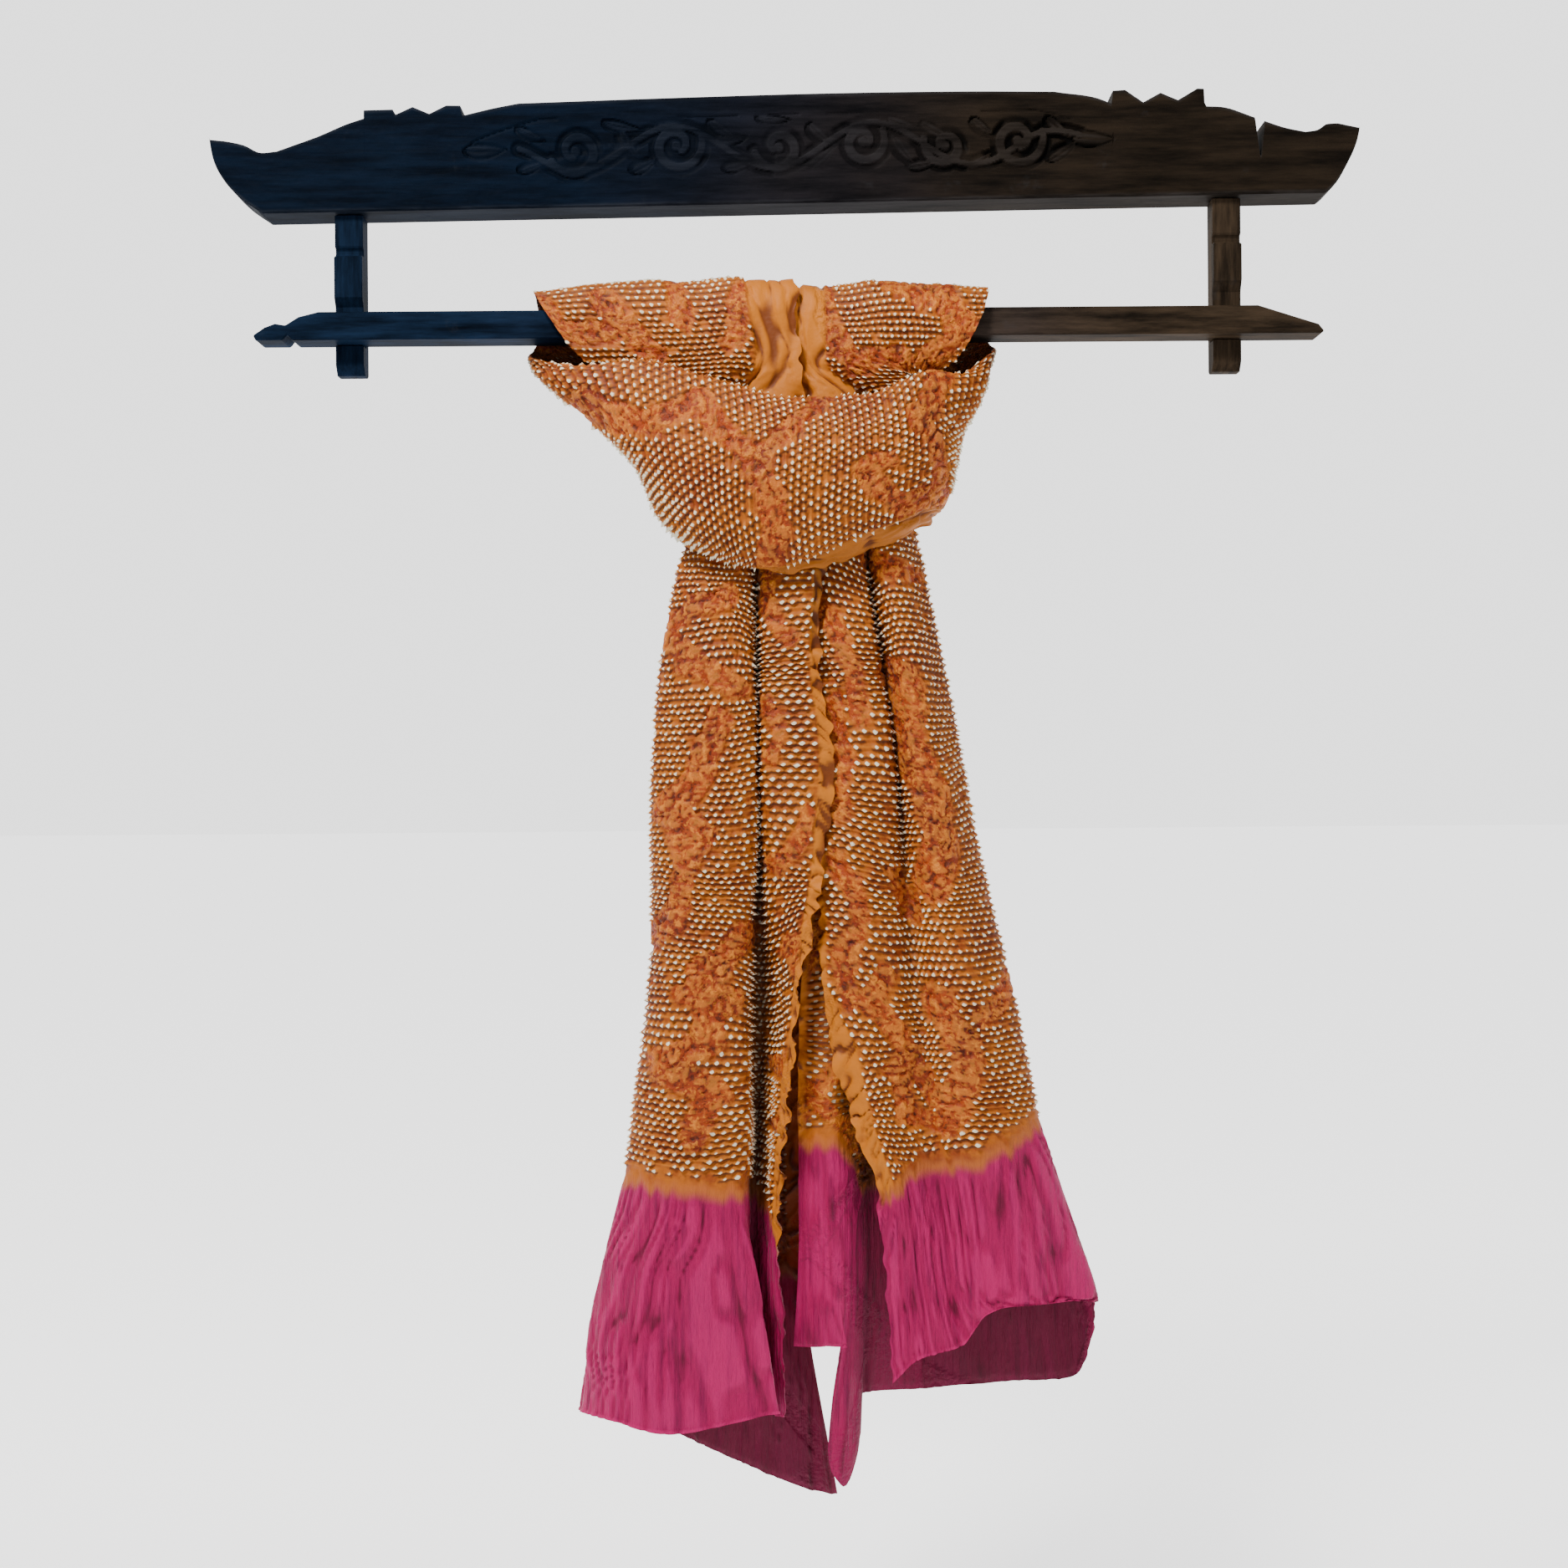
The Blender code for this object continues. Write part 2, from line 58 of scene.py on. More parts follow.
# %% Tables of the folds
LEVELS = (-195, -262, -330, -390, -470, -570, -660, -740, -800, -880)
NECK = 1
Fold = collections.namedtuple("Fold", "across hem x y")
LEFT_FOLDS = {
    "front selvedge": Fold(
        0.00, -972, (18, 31, 32, 28, 38, 26, 10, 2, -5, -4, -1),
        (-58, -69, -73, -74, -75, -75, -75, -74, -72, -68, -66)),
    "ridge": Fold(
        0.05, -973, (-4, 13, 16, 14, 20, 13, 3, -5, -10, -9, -5),
        (-56, -69, -75, -76, -77, -74, -68, -64, -62, -60, -58)),
    "ridge side": Fold(
        0.10, -975, (-24, -6, -13, -15, -13, -8, -4, -10, -14, -18, -14),
        (-53, -64, -68, -70, -70, -65, -57, -54, -52, -50, -50)),
    "deep valley": Fold(
        0.18, -978, (-41, -16, -20, -20, -20, -20, -21, -24, -28, -34, -36),
        (-43, -50, -50, -48, -46, -44, -42, -42, -42, -40, -40)),
    "panel edge": Fold(
        0.26, -962, (-58, -26, -27, -26, -26, -29, -33, -32, -36, -22, -8),
        (-52, -62, -68, -70, -71, -72, -73, -75, -78, -82, -86)),
    "panel middle": Fold(
        0.36, -976, (-82, -42, -45, -48, -53, -58, -62, -69, -77, -84, -84),
        (-56, -66, -72, -74, -76, -78, -79, -80, -82, -85, -88)),
    "panel outer": Fold(
        0.45, -968, (-108, -56, -65, -73, -80, -84, -88, -96, -104, -120, -132),
        (-54, -60, -64, -66, -68, -70, -72, -73, -75, -78, -80)),
    "outer fold": Fold(
        0.53, -970, (-128, -64, -82, -93, -100, -102, -107, -117, -126, -147, -164),
        (-46, -48, -48, -48, -48, -48, -48, -48, -50, -50, -50)),
    "back outer": Fold(
        0.62, -983, (-130, -55, -66, -76, -85, -88, -92, -100, -106, -115, -122),
        (-37, -35, -33, -30, -28, -27, -26, -26, -26, -26, -26)),
    "back": Fold(
        0.73, -1011, (-119, -37, -42, -48, -54, -56, -58, -62, -64, -66, -66),
        (-33, -32, -30, -27, -25, -24, -23, -22, -21, -20, -19)),
    "back inner": Fold(
        0.83, -1029, (-107, -19, -18, -22, -24, -26, -27, -28, -28, -28, -27),
        (-32, -32, -31, -28, -26, -25, -24, -23, -22, -21, -19)),
    "back edge": Fold(
        0.92, -1045, (-97, -4, 0, -2, -2, -3, -4, -6, -8, -6, 12),
        (-32, -33, -32, -29, -27, -26, -25, -24, -23, -21, -19)),
    "back selvedge": Fold(
        1.00, -1049, (-88, 7, 14, 14, 16, 16, 14, 12, 10, 12, 38),
        (-32, -34, -33, -30, -28, -27, -26, -25, -24, -22, -20)),
}
RIGHT_FOLDS = {
    "front selvedge": Fold(
        0.00, -948, (14, 20, 25, 23, 28, 26, 30, 48, 69, 76, 80),
        (-50, -57, -60, -61, -62, -62, -62, -64, -66, -66, -66)),
    "ridge": Fold(
        0.05, -930, (32, 40, 44, 44, 50, 52, 55, 66, 83, 91, 97),
        (-54, -65, -69, -70, -71, -71, -71, -71, -71, -70, -70)),
    "ridge side": Fold(
        0.12, -924, (52, 58, 61, 68, 77, 79, 80, 86, 97, 107, 113),
        (-54, -64, -68, -68, -68, -67, -66, -66, -67, -68, -69)),
    "deep valley": Fold(
        0.18, -918, (66, 64, 66, 76, 86, 94, 100, 106, 113, 124, 136),
        (-44, -48, -48, -48, -50, -53, -56, -58, -60, -60, -60)),
    "panel edge": Fold(
        0.24, -892, (80, 71, 73, 84, 94, 108, 117, 122, 131, 142, 152),
        (-52, -62, -66, -66, -67, -67, -67, -67, -68, -70, -73)),
    "panel middle": Fold(
        0.33, -885, (100, 84, 84, 95, 109, 124, 136, 147, 156, 168, 172),
        (-54, -66, -72, -73, -74, -74, -74, -74, -75, -77, -78)),
    "panel outer": Fold(
        0.42, -885, (120, 94, 99, 110, 124, 140, 157, 171, 183, 204, 203),
        (-52, -60, -62, -63, -64, -65, -66, -66, -67, -68, -70)),
    "outer fold": Fold(
        0.50, -889, (131, 101, 110, 122, 138, 156, 176, 192, 208, 236, 233),
        (-45, -46, -46, -46, -46, -46, -47, -48, -48, -50, -52)),
    "back outer": Fold(
        0.60, -957, (127, 92, 98, 110, 124, 140, 158, 174, 190, 218, 224),
        (-36, -33, -31, -29, -27, -26, -26, -26, -26, -26, -27)),
    "back": Fold(
        0.69, -963, (115, 78, 80, 90, 102, 114, 128, 140, 150, 170, 179),
        (-32, -30, -28, -25, -23, -22, -22, -21, -21, -21, -22)),
    "back inner": Fold(
        0.77, -968, (104, 67, 66, 72, 80, 86, 92, 98, 102, 106, 104),
        (-31, -31, -29, -26, -24, -23, -22, -22, -22, -22, -23)),
    "back turn": Fold(
        0.82, -969, (94, 58, 57, 61, 65, 67, 68, 69, 69, 65, 58),
        (-31, -33, -32, -30, -28, -28, -28, -28, -28, -28, -29)),
    "low side": Fold(
        0.86, -1012, (90, 55, 54, 57, 59, 60, 60, 60, 60, 58, 54),
        (-31, -35, -34, -34, -33, -34, -35, -36, -36, -36, -36)),
    "low point": Fold(
        0.89, -1036, (86, 52, 50, 53, 54, 53, 53, 53, 52, 51, 39),
        (-32, -37, -38, -39, -40, -42, -44, -45, -45, -45, -44)),
    "low inner": Fold(
        0.905, -1006, (84, 50, 49, 51, 50, 49, 47, 47, 46, 47, 29),
        (-33, -39, -41, -43, -45, -47, -49, -50, -51, -51, -49)),
    "inner panel edge": Fold(
        0.92, -923, (81, 48, 47, 48, 46, 44, 41, 40, 40, 42, 42),
        (-34, -41, -44, -47, -49, -52, -54, -56, -57, -57, -56)),
    "back selvedge": Fold(
        1.00, -924, (72, 42, 38, 35, 29, 20, 11, 9, 9, 7, 4),
        (-35, -44, -49, -52, -53, -51, -49, -49, -50, -50, -51)),
}
HITCH_ACROSS = (0.0, 0.5, 1.0)
LEFT_HITCH = {
    "below the bar": ((15, -57, -160), (-76, -55, -162), (-152, -45, -160)),
    "bar front": ((13, -57, -126), (-85, -53, -128), (-179, -48, -127)),
    "bar top front": ((12, -41, -98), (-92, -39, -99), (-191, -38, -107)),
    "bar top back": ((11, -13, -101), (-91, -14, -103), (-192, -14, -112)),
    "bar back": ((10, -7.5, -150), (-90, -10.5, -140), (-192, -11, -127)),
    "back middle": ((-16, -10, -236), (-98, -11, -180), (-193, -12, -138)),
    "back low": ((-50, -15, -292), (-112, -16, -214), (-195, -18, -146)),
}
RIGHT_HITCH = {
    "below the bar": ((6, -49, -160), (76, -55, -162), (136, -45, -160)),
    "bar front": ((5, -49, -126), (80, -53, -128), (156, -48, -127)),
    "bar top front": ((4, -38, -103), (84, -39, -102), (161, -38, -107)),
    "bar top back": ((3, -16, -106), (84, -14, -105), (161, -14, -111)),
    "bar back": ((2, -11.5, -150), (84, -11, -140), (162, -11, -127)),
    "back middle": ((34, -11, -234), (106, -11, -180), (164, -12, -138)),
    "back low": ((84, -15, -286), (130, -16, -212), (166, -18, -145)),
}
SCOOP_ACROSS = (0.0, 0.15, 0.40, 0.65, 0.85, 1.0)
SCOOP = {
    "left side": (
        (-78, -46, -297), (-92, -50, -279), (-112, -52, -240),
        (-147, -50, -206), (-183, -43, -174), (-195, -33, -153),
    ),
    "left front": (
        (-57, -70, -314), (-72, -82, -299), (-92, -88, -255),
        (-105, -86, -206), (-110, -73, -168), (-104, -65, -186),
    ),
    "left of centre": (
        (-34, -78, -324), (-42, -94, -309), (-50, -106, -262),
        (-54, -100, -214), (-54, -84, -183), (-52, -73, -207),
    ),
    "centre": (
        (6, -80, -329), (6, -96, -315), (6, -110, -268),
        (6, -103, -222), (6, -88, -199), (6, -75, -224),
    ),
    "right of centre": (
        (60, -78, -315), (62, -93, -301), (64, -106, -262),
        (64, -101, -222), (62, -87, -198), (60, -75, -222),
    ),
    "right front": (
        (98, -68, -298), (107, -80, -283), (117, -86, -250),
        (119, -84, -212), (115, -73, -178), (109, -65, -199),
    ),
    "right side": (
        (112, -46, -288), (123, -50, -275), (133, -52, -245),
        (143, -50, -212), (157, -43, -178), (166, -33, -150),
    ),
}
print("folds:", len(LEFT_FOLDS), "left,", len(RIGHT_FOLDS), "right")

# %% [markdown]
# ## From folds to a fine grid
# Cloth bends smoothly from fold to fold, so a cubic curve runs through the table's points, first across
# each section and then along the scarf. The grid keeps step with the dyer's lattice: each tied point gets
# four columns and three rows, which lets one vertex be its tip. A grid that ignored the lattice would need
# far more faces to show the points at all.

# %% Loft the middle surface
CELL_ACROSS = 5.8
CELL_ALONG = 5.1
COLUMNS_A_CELL = 4
ROWS_A_CELL = 3
WANDER_TAIL, WANDER_HITCH = 9.0, 3.5
SLOPE_LIMIT = 2.5
DENSE = 401
NOISE_CELLS = 128


def smooth(knots, points, places):
    """A cubic curve through the points, read at the given places along its knots."""
    knots, points = np.asarray(knots, float), np.asarray(points, float)
    steps = np.diff(knots)[:, None]
    slopes = np.diff(points, axis=0) / steps
    inner = (slopes[:-1] * steps[1:] + slopes[1:] * steps[:-1]) / (steps[1:] + steps[:-1])
    limit = SLOPE_LIMIT * np.minimum(np.abs(slopes[:-1]), np.abs(slopes[1:]))
    inner = np.clip(inner, -limit, limit)
    tangents = np.vstack([slopes[:1], inner, slopes[-1:]])
    at = np.clip(np.searchsorted(knots, places, side="right") - 1, 0, len(knots) - 2)
    span = steps[at]
    s = ((places - knots[at])[:, None]) / span
    start = (1 + 2 * s) * (1 - s) ** 2 * points[at] + s * (1 - s) ** 2 * span * tangents[at]
    end = s * s * (3 - 2 * s) * points[at + 1] + s * s * (s - 1) * span * tangents[at + 1]
    return start + end


def tail_sections(folds, across):
    """The lines across a tail, from under the scoop down to the hem, read at the places across."""
    knots = [fold.across for fold in folds.values()]
    sections = []
    for place in range(len(LEVELS) + 1):
        points = []
        for fold in folds.values():
            height = LEVELS[place] if place < len(LEVELS) else fold.hem
            points.append((fold.x[place], fold.y[place], height))
        sections.append(smooth(knots, points, across))
    return sections


def hitch_sections(across):
    """The lines across the hitch, from behind the scoop on the left to behind it on the right."""
    left = [smooth(HITCH_ACROSS, row, across) for row in LEFT_HITCH.values()]
    scoop = [smooth(SCOOP_ACROSS, row, across) for row in SCOOP.values()]
    right = [smooth(HITCH_ACROSS, row, across) for row in RIGHT_HITCH.values()]
    start = tail_sections(LEFT_FOLDS, across)[: NECK + 2]
    end = tail_sections(RIGHT_FOLDS, across)[: NECK + 2]
    return start[::-1] + left + scoop + right[::-1] + end


def even_columns(sections_at, first, last):
    """Places across that are evenly spaced along the cloth, and their distances from the first edge."""
    dense = np.linspace(0, 1, DENSE)
    lines = np.array(sections_at(dense))[first:last]
    steps = np.linalg.norm(np.diff(lines, axis=1), axis=2).mean(axis=0)
    distance = np.concatenate([[0], np.cumsum(steps)])
    cells = round(distance[-1] / CELL_ACROSS)
    even = np.linspace(0, distance[-1], cells * COLUMNS_A_CELL + 1)
    return np.interp(even, distance, dense), even


def noise(u, v, seed):
    """Smooth noise from -1 to 1 over a plane, one hill or hollow to a unit."""
    table = np.random.default_rng(seed).uniform(-1, 1, (NOISE_CELLS, NOISE_CELLS))
    left, low = np.floor(u).astype(int), np.floor(v).astype(int)
    x, y = u - left, v - low
    x, y = x * x * (3 - 2 * x), y * y * (3 - 2 * y)

    def corner(across, up):
        return table[(left + across) % NOISE_CELLS, (low + up) % NOISE_CELLS]

    bottom = corner(0, 0) * (1 - x) + corner(1, 0) * x
    top = corner(0, 1) * (1 - x) + corner(1, 1) * x
    return bottom * (1 - y) + top * y


def step(value, low, high):
    """0 below low, 1 above high and smooth between."""
    t = np.clip((value - low) / (high - low), 0, 1)
    return t * t * (3 - 2 * t)


def unit(vectors):
    return vectors / np.maximum(np.linalg.norm(vectors, axis=2, keepdims=True), 1e-9)


class Sheet:
    """A lofted grid with its places across and along, and the marks painted on it later."""

    def __init__(self, name, sections_at, trim_start, trim_end, turned, width_rows, free, seed):
        self.name, self.free = name, free
        self.across, self.over = even_columns(sections_at, *width_rows)
        sections = np.array(sections_at(self.across))
        lengths = np.linalg.norm(np.diff(sections, axis=0), axis=2).mean(axis=1)
        knots = np.concatenate([[0], np.cumsum(lengths)])
        knots -= knots[trim_start]
        self.knots = knots
        row = CELL_ALONG / ROWS_A_CELL
        self.along = np.arange(0, knots[-1 - trim_end], row)
        grid = smooth(knots, sections.reshape(len(sections), -1), self.along)
        self.points = grid.reshape(len(self.along), len(self.across), 3)
        self.down = unit(np.gradient(self.points, axis=0))
        self.side = unit(np.gradient(self.points, axis=1))
        self.normals = unit(np.cross(self.down, self.side)) * turned
        self.u = np.tile(self.over / CELL_ACROSS, (len(self.along), 1))
        self.v = np.tile((self.along / CELL_ALONG)[:, None], (1, len(self.across)))
        wander = WANDER_TAIL if self.free else WANDER_HITCH
        drift = wander * noise(self.u / 9, self.v / 11, seed)
        sway = 0.6 * WANDER_HITCH * noise(self.u / 9, self.v / 8, seed + 1)
        inside = np.sin(math.pi * self.over / self.over[-1]) ** 0.3
        fade = step(self.v, 0, 6) * (1 - step(self.v, self.v.max() - 6, self.v.max()))
        self.points += self.down * (drift * fade)[..., None]
        self.points += self.side * (sway * fade * inside[None, :])[..., None]


left_tail = functools.partial(tail_sections, LEFT_FOLDS)
right_tail = functools.partial(tail_sections, RIGHT_FOLDS)
tails = [
    Sheet("scarf_tail_left", left_tail, NECK, 0, -1, (1, 9), True, 11),
    Sheet("scarf_tail_right", right_tail, NECK, 0, 1, (1, 9), True, 31),
]
hitch = Sheet("scarf_hitch", hitch_sections, 1, 1, 1, (3, -3), False, 51)
for sheet in tails + [hitch]:
    size = round(sheet.over[-1]), "x", round(sheet.along[-1])
    print(sheet.name, sheet.points.shape, *size, "mm")

# %% [markdown]
# ## The tied fields and the bare bands
# The dyer ties rows of points in fields and leaves bands between them untied, and the bands shrink into
# deep crinkles. A mask of soft-edged strips, placed where the bands run on this scarf, parts the
# two. Behind, where nothing shows from the front, the same trellis simply repeats. One printed mask for
# the whole cloth would be less work, but it would slide off the folds.

# %% Tables of the bare bands
Band = collections.namedtuple("Band", "half path")


def strips(*rows):
    return [Band(*row) for row in rows]


LEFT_BANDS = strips(
    (9, ((-90, -369), (-62, -352), (-44, -346))),
    (10, ((-90, -376), (-65, -399), (-34, -414))),
    (12, ((-48, -440), (-67, -481), (-89, -511), (-62, -532))),
    (10, ((-89, -511), (-70, -546), (-84, -587), (-99, -606))),
    (12, ((-30, -603), (-57, -628), (-72, -645), (-43, -652))),
    (12, ((-62, -647), (-57, -685), (-94, -701), (-54, -724), (-72, -755))),
    (7, ((-13, -330), (-9, -366), (4, -378))),
    (7, ((-14, -426), (-3, -448), (-8, -470))),
    (8, ((20, -512), (12, -526), (-6, -549))),
    (8, ((30, -590), (12, -606), (3, -618), (16, -640))),
    (7, ((-4, -700), (8, -720), (-6, -750))),
    (6, ((-62, -292), (-48, -312), (-30, -318))),
)
RIGHT_BANDS = strips(
    (8, ((66, -312), (84, -326), (100, -330))),
    (8, ((36, -360), (50, -398), (60, -440))),
    (8, ((38, -428), (46, -470), (44, -508))),
    (8, ((42, -545), (60, -590), (44, -618), (50, -655))),
    (7, ((84, -556), (99, -590))),
    (10, ((74, -632), (66, -655), (87, -686), (118, -730))),
    (9, ((82, -708), (94, -742), (122, -752))),
    (13, ((84, -405), (98, -434), (96, -458), (112, -492), (119, -532), (112, -566))),
    (12, ((114, -652), (137, -690), (131, -738))),
    (8, ((176, -632), (162, -656), (150, -668))),
    (7, ((30, -650), (24, -700), (32, -750))),
)
YOKE_BANDS = strips(
    (8, ((-184, -116), (-168, -138), (-116, -143), (-92, -172))),
    (10, ((-137, -112), (-113, -146), (-98, -162))),
    (8, ((-86, -98), (-74, -132))),
    (8, ((-28, -108), (-38, -150))),
    (9, ((33, -104), (39, -140), (58, -167), (94, -159))),
    (12, ((86, -98), (125, -118), (141, -140), (113, -164))),
)
SCOOP_BANDS = strips(
    (10, ((-150, -196), (-120, -212), (-91, -215), (-58, -202))),
    (9, ((-58, -202), (-48, -223), (-24, -242))),
    (11, ((-24, -242), (-10, -269), (-5, -301), (-10, -325))),
    (9, ((-20, -246), (6, -226), (27, -204))),
    (8, ((80, -247), (60, -258), (94, -285), (120, -269))),
    (8, ((120, -269), (115, -231), (102, -213))),
    (9, ((112, -208), (124, -164))),
)
TRELLIS_ACROSS = 96.0
TRELLIS_ALONG = 118.0
TRELLIS_BARE = 0.27
# Where the plain border ends, as a part of the width, down each tail and along the hitch.
Border = collections.namedtuple("Border", "height width")
BORDER = 0.052
LEFT_BORDER = Border((-1050, -720, -640, -400, -330, -250), (0.052, 0.05, 0.036, 0.034, 0.03, 0.06))
RIGHT_BORDER = Border((-1050, -730, -690, -640, -250), (0.045, 0.045, 0.04, 0.008, 0.008))
LEFT_BACK_BORDER, RIGHT_BACK_BORDER = 0.052, 0.012
YOKE_BORDER = 0.19
SCOOP_BORDER = 0.15
ROUND_BORDER = 0.015
# The height at which ochre turns to pink, at places across each tail.
Change = collections.namedtuple("Change", "across height")
LEFT_CHANGE = Change(
    (0, 0.10, 0.26, 0.55, 0.62, 0.73, 0.83, 0.92, 1),
    (-842, -812, -792, -787, -800, -835, -855, -868, -872),
)
RIGHT_CHANGE = Change(
    (0, 0.12, 0.33, 0.5, 0.6, 0.77, 0.86, 0.92, 1),
    (-800, -784, -772, -745, -790, -800, -800, -763, -760),
)


def bands_over(points, bands, seed):
    """1 in the middle of a bare band and 0 in a tied field, by where each point lies from the front."""
    x, z = points[..., 0], points[..., 2]
    x = x + 4 * noise(x / 13, z / 13, seed)
    z = z + 4 * noise(x / 13, z / 13, seed + 1)
    bare = np.zeros(x.shape)
    for band in bands:
        for (x0, z0), (x1, z1) in zip(band.path, band.path[1:]):
            along = np.array((x1 - x0, z1 - z0), float)
            part = ((x - x0) * along[0] + (z - z0) * along[1]) / (along @ along)
            part = np.clip(part, 0, 1)
            away = np.hypot(x - x0 - part * along[0], z - z0 - part * along[1])
            bare = np.maximum(bare, 1 - step(away, band.half - 1.5, band.half + 1.5))
    return bare


def trellis(sheet, seed):
    """The bare bands of the layers behind: two families of slanting strips."""
    a = sheet.u * CELL_ACROSS / TRELLIS_ACROSS + 0.12 * noise(sheet.u / 7, sheet.v / 9, seed)
    b = sheet.v * CELL_ALONG / TRELLIS_ALONG
    near = np.minimum(np.abs(np.sin(math.pi * (a + b))), np.abs(np.sin(math.pi * (a - b))))
    return 1 - step(near, TRELLIS_BARE - 0.04, TRELLIS_BARE + 0.04)


def mark_tail(sheet, bands, change, border, back_border, front_end, seed):
    across = np.tile(sheet.across, (len(sheet.along), 1))
    front = across < front_end
    sheet.bare = np.where(front, bands_over(sheet.points, bands, seed), trellis(sheet, seed))
    width = np.interp(sheet.points[..., 2], border.height, border.width)
    inner = step(width - across, -0.004, 0.004)
    outer = step(across - 1 + back_border, -0.004, 0.004)
    sheet.plain = np.maximum(inner, outer)
    sheet.edge = np.maximum(1 - across / width, 1 - (1 - across) / back_border).clip(0, 1)
    height = np.interp(sheet.across, change.across, change.height)
    streaks = 5 * noise(sheet.u * 1.3, sheet.v / 9, seed + 3)
    sheet.dye = (height[None, :] + streaks - sheet.points[..., 2]) / DYE_FADE
    # Painted shade: the cloth darkens towards the wall, sooner in the deep valley.
    valley = step(across, 0.07, 0.13) * (1 - step(across, 0.20, 0.25))
    sheet.deep = step(sheet.points[..., 1], DEEP_FROM - 14 * valley, DEEP_TO - 12 * valley)
    # Painted shade on the plain border high on the tail, beneath the scoop.
    neck = 0.6 * sheet.plain * step(sheet.points[..., 2], *NECK_SHADE)
    sheet.deep = np.maximum(sheet.deep, neck)


def mark_hitch(sheet, seed):
    """The hitch has a wide plain border in its yoke and a narrow one round the scoop."""
    across = np.tile(sheet.across, (len(sheet.along), 1))
    knots = sheet.knots
    first_scoop = NECK + 2 + len(LEFT_HITCH)
    last_scoop = first_scoop + len(SCOOP) - 1
    along = sheet.along[:, None] + 0 * across
    in_scoop = (along > knots[first_scoop - 1]) & (along < knots[last_scoop + 1])
    yoke = bands_over(sheet.points, YOKE_BANDS, seed)
    scoop = bands_over(sheet.points, SCOOP_BANDS, seed)
    in_front = sheet.points[..., 1] < -30
    sheet.bare = np.where(in_scoop, scoop, np.where(in_front, yoke, trellis(sheet, seed)))
    table = (
        (NECK, BORDER),
        (NECK + 2, YOKE_BORDER),
        (NECK + 7, YOKE_BORDER),
        (first_scoop, ROUND_BORDER),
        (first_scoop + 2, ROUND_BORDER),
        (first_scoop + 3, 0.4 * SCOOP_BORDER),
        (last_scoop - 2, SCOOP_BORDER),
        (last_scoop, SCOOP_BORDER),
        (last_scoop + 3, YOKE_BORDER),
        (last_scoop + 8, YOKE_BORDER),
    )
    places = [knots[place] for place, _ in table]
    border = np.interp(sheet.along, places, [width for _, width in table])[:, None]
    sheet.plain = step(border - across, -0.006, 0.006)
    sheet.edge = (1 - across / border).clip(0, 1)
    sheet.dye = np.full(across.shape, -20.0)
    # Painted shade towards the wall and on the plain border round the scoop.
    sheet.deep = 0.8 * step(sheet.points[..., 1], DEEP_FROM, DEEP_TO)
    sheet.deep = np.maximum(sheet.deep, 0.45 * sheet.plain * in_scoop)


# The places along Y between which the cloth grows dark, as little light falls in behind its folds.
DEEP_FROM, DEEP_TO = -50, -27
NECK_SHADE = (-410, -350)
DYE_FADE = 25
LEFT_FRONT = 0.57
RIGHT_FRONT = 0.55
mark_tail(tails[0], LEFT_BANDS, LEFT_CHANGE, LEFT_BORDER, LEFT_BACK_BORDER, LEFT_FRONT, 11)
mark_tail(tails[1], RIGHT_BANDS, RIGHT_CHANGE, RIGHT_BORDER, RIGHT_BACK_BORDER, RIGHT_FRONT, 23)
mark_hitch(hitch, 37)
for sheet in tails + [hitch]:
    print(sheet.name, "bare share", round(float(sheet.bare.mean()), 2))

# %% [markdown]
# ## Puckers, crinkles, ruffles and pleats
# Each tie leaves a little cone with an undyed tip that droops. Untied silk between the fields crumples,
# the plain selvedges ruffle because they are longer than the shrunken middle, and the pink ends keep fine
# upright pleats. They add up to one height over the middle surface, so the sheet stays a single skin. A
# bump map would shade alike but leave a smooth outline, and the bristly edge is what one sees first.

# %% Raise the relief
CONE_HEIGHT = 3.2
CONE_FOOT = 3.0
TIP_FADE = 2.7
TIP_LEAN = 0.8
ROW_HEIGHT = 1.0
TIP_DROOP = 0.5
CRINKLE = 3.4
RUFFLE = 4.2
EDGE_SWAY = 2.6
PLEAT = 3.4
SWELL = 1.6
HEM_WIDTH, HEM_ROLL = 3.0, 0.9
CREASE_GAIN = 3.2
MISSED, LAST_TIE = 0.05, -0.35
DICE = (400, 100)


def creases(u, v, seed):
    """Puffs between sharp creases, from 0 in a crease to 1."""
    return np.minimum(1, np.abs(noise(u, v, seed)) * CREASE_GAIN)


def cones(sheet, seed):
    """The tied points: how high each vertex stands on its cone, and whether it is the tip."""
    row = np.round(sheet.v)
    shift = 0.5 * (row % 2)
    column = np.round(sheet.u - shift)
    du = sheet.u - shift - column
    dv = sheet.v - row
    away = np.hypot(du * CELL_ACROSS, dv * CELL_ALONG)
    thrown = row.astype(int) % DICE[0], column.astype(int) % DICE[1]
    roll = np.random.default_rng(seed).uniform(0, 1, DICE)[thrown]
    at_row = np.clip(row * ROWS_A_CELL, 0, len(sheet.along) - 1).astype(int)
    at_column = np.clip((column + shift) * COLUMNS_A_CELL, 0, len(sheet.over) - 1).astype(int)
    loose = np.maximum(sheet.bare, sheet.plain)
    tied = (loose[at_row, at_column] < 0.5) & (sheet.dye[at_row, at_column] < LAST_TIE)
    tied &= roll > MISSED
    height = np.clip(1 - away / CONE_FOOT, 0, 1) ** 1.2 * (0.65 + 0.6 * roll) * tied
    tip = np.clip(1 - away / TIP_FADE, 0, 1) * tied * (0.68 + 0.42 * roll)
    # Painted shadow: a dark band on the downward side of each tied cone, as if its tip cast it.
    fall = -(du * CELL_ACROSS * sheet.side[..., 2] + dv * CELL_ALONG * sheet.down[..., 2])
    sheet.under = step(fall, 0.4, 1.8) * tied
    lean = np.random.default_rng(seed + 1).normal(0, 1, (*DICE, 2))[thrown]
    return height, tip, np.cos(2 * math.pi * dv), lean


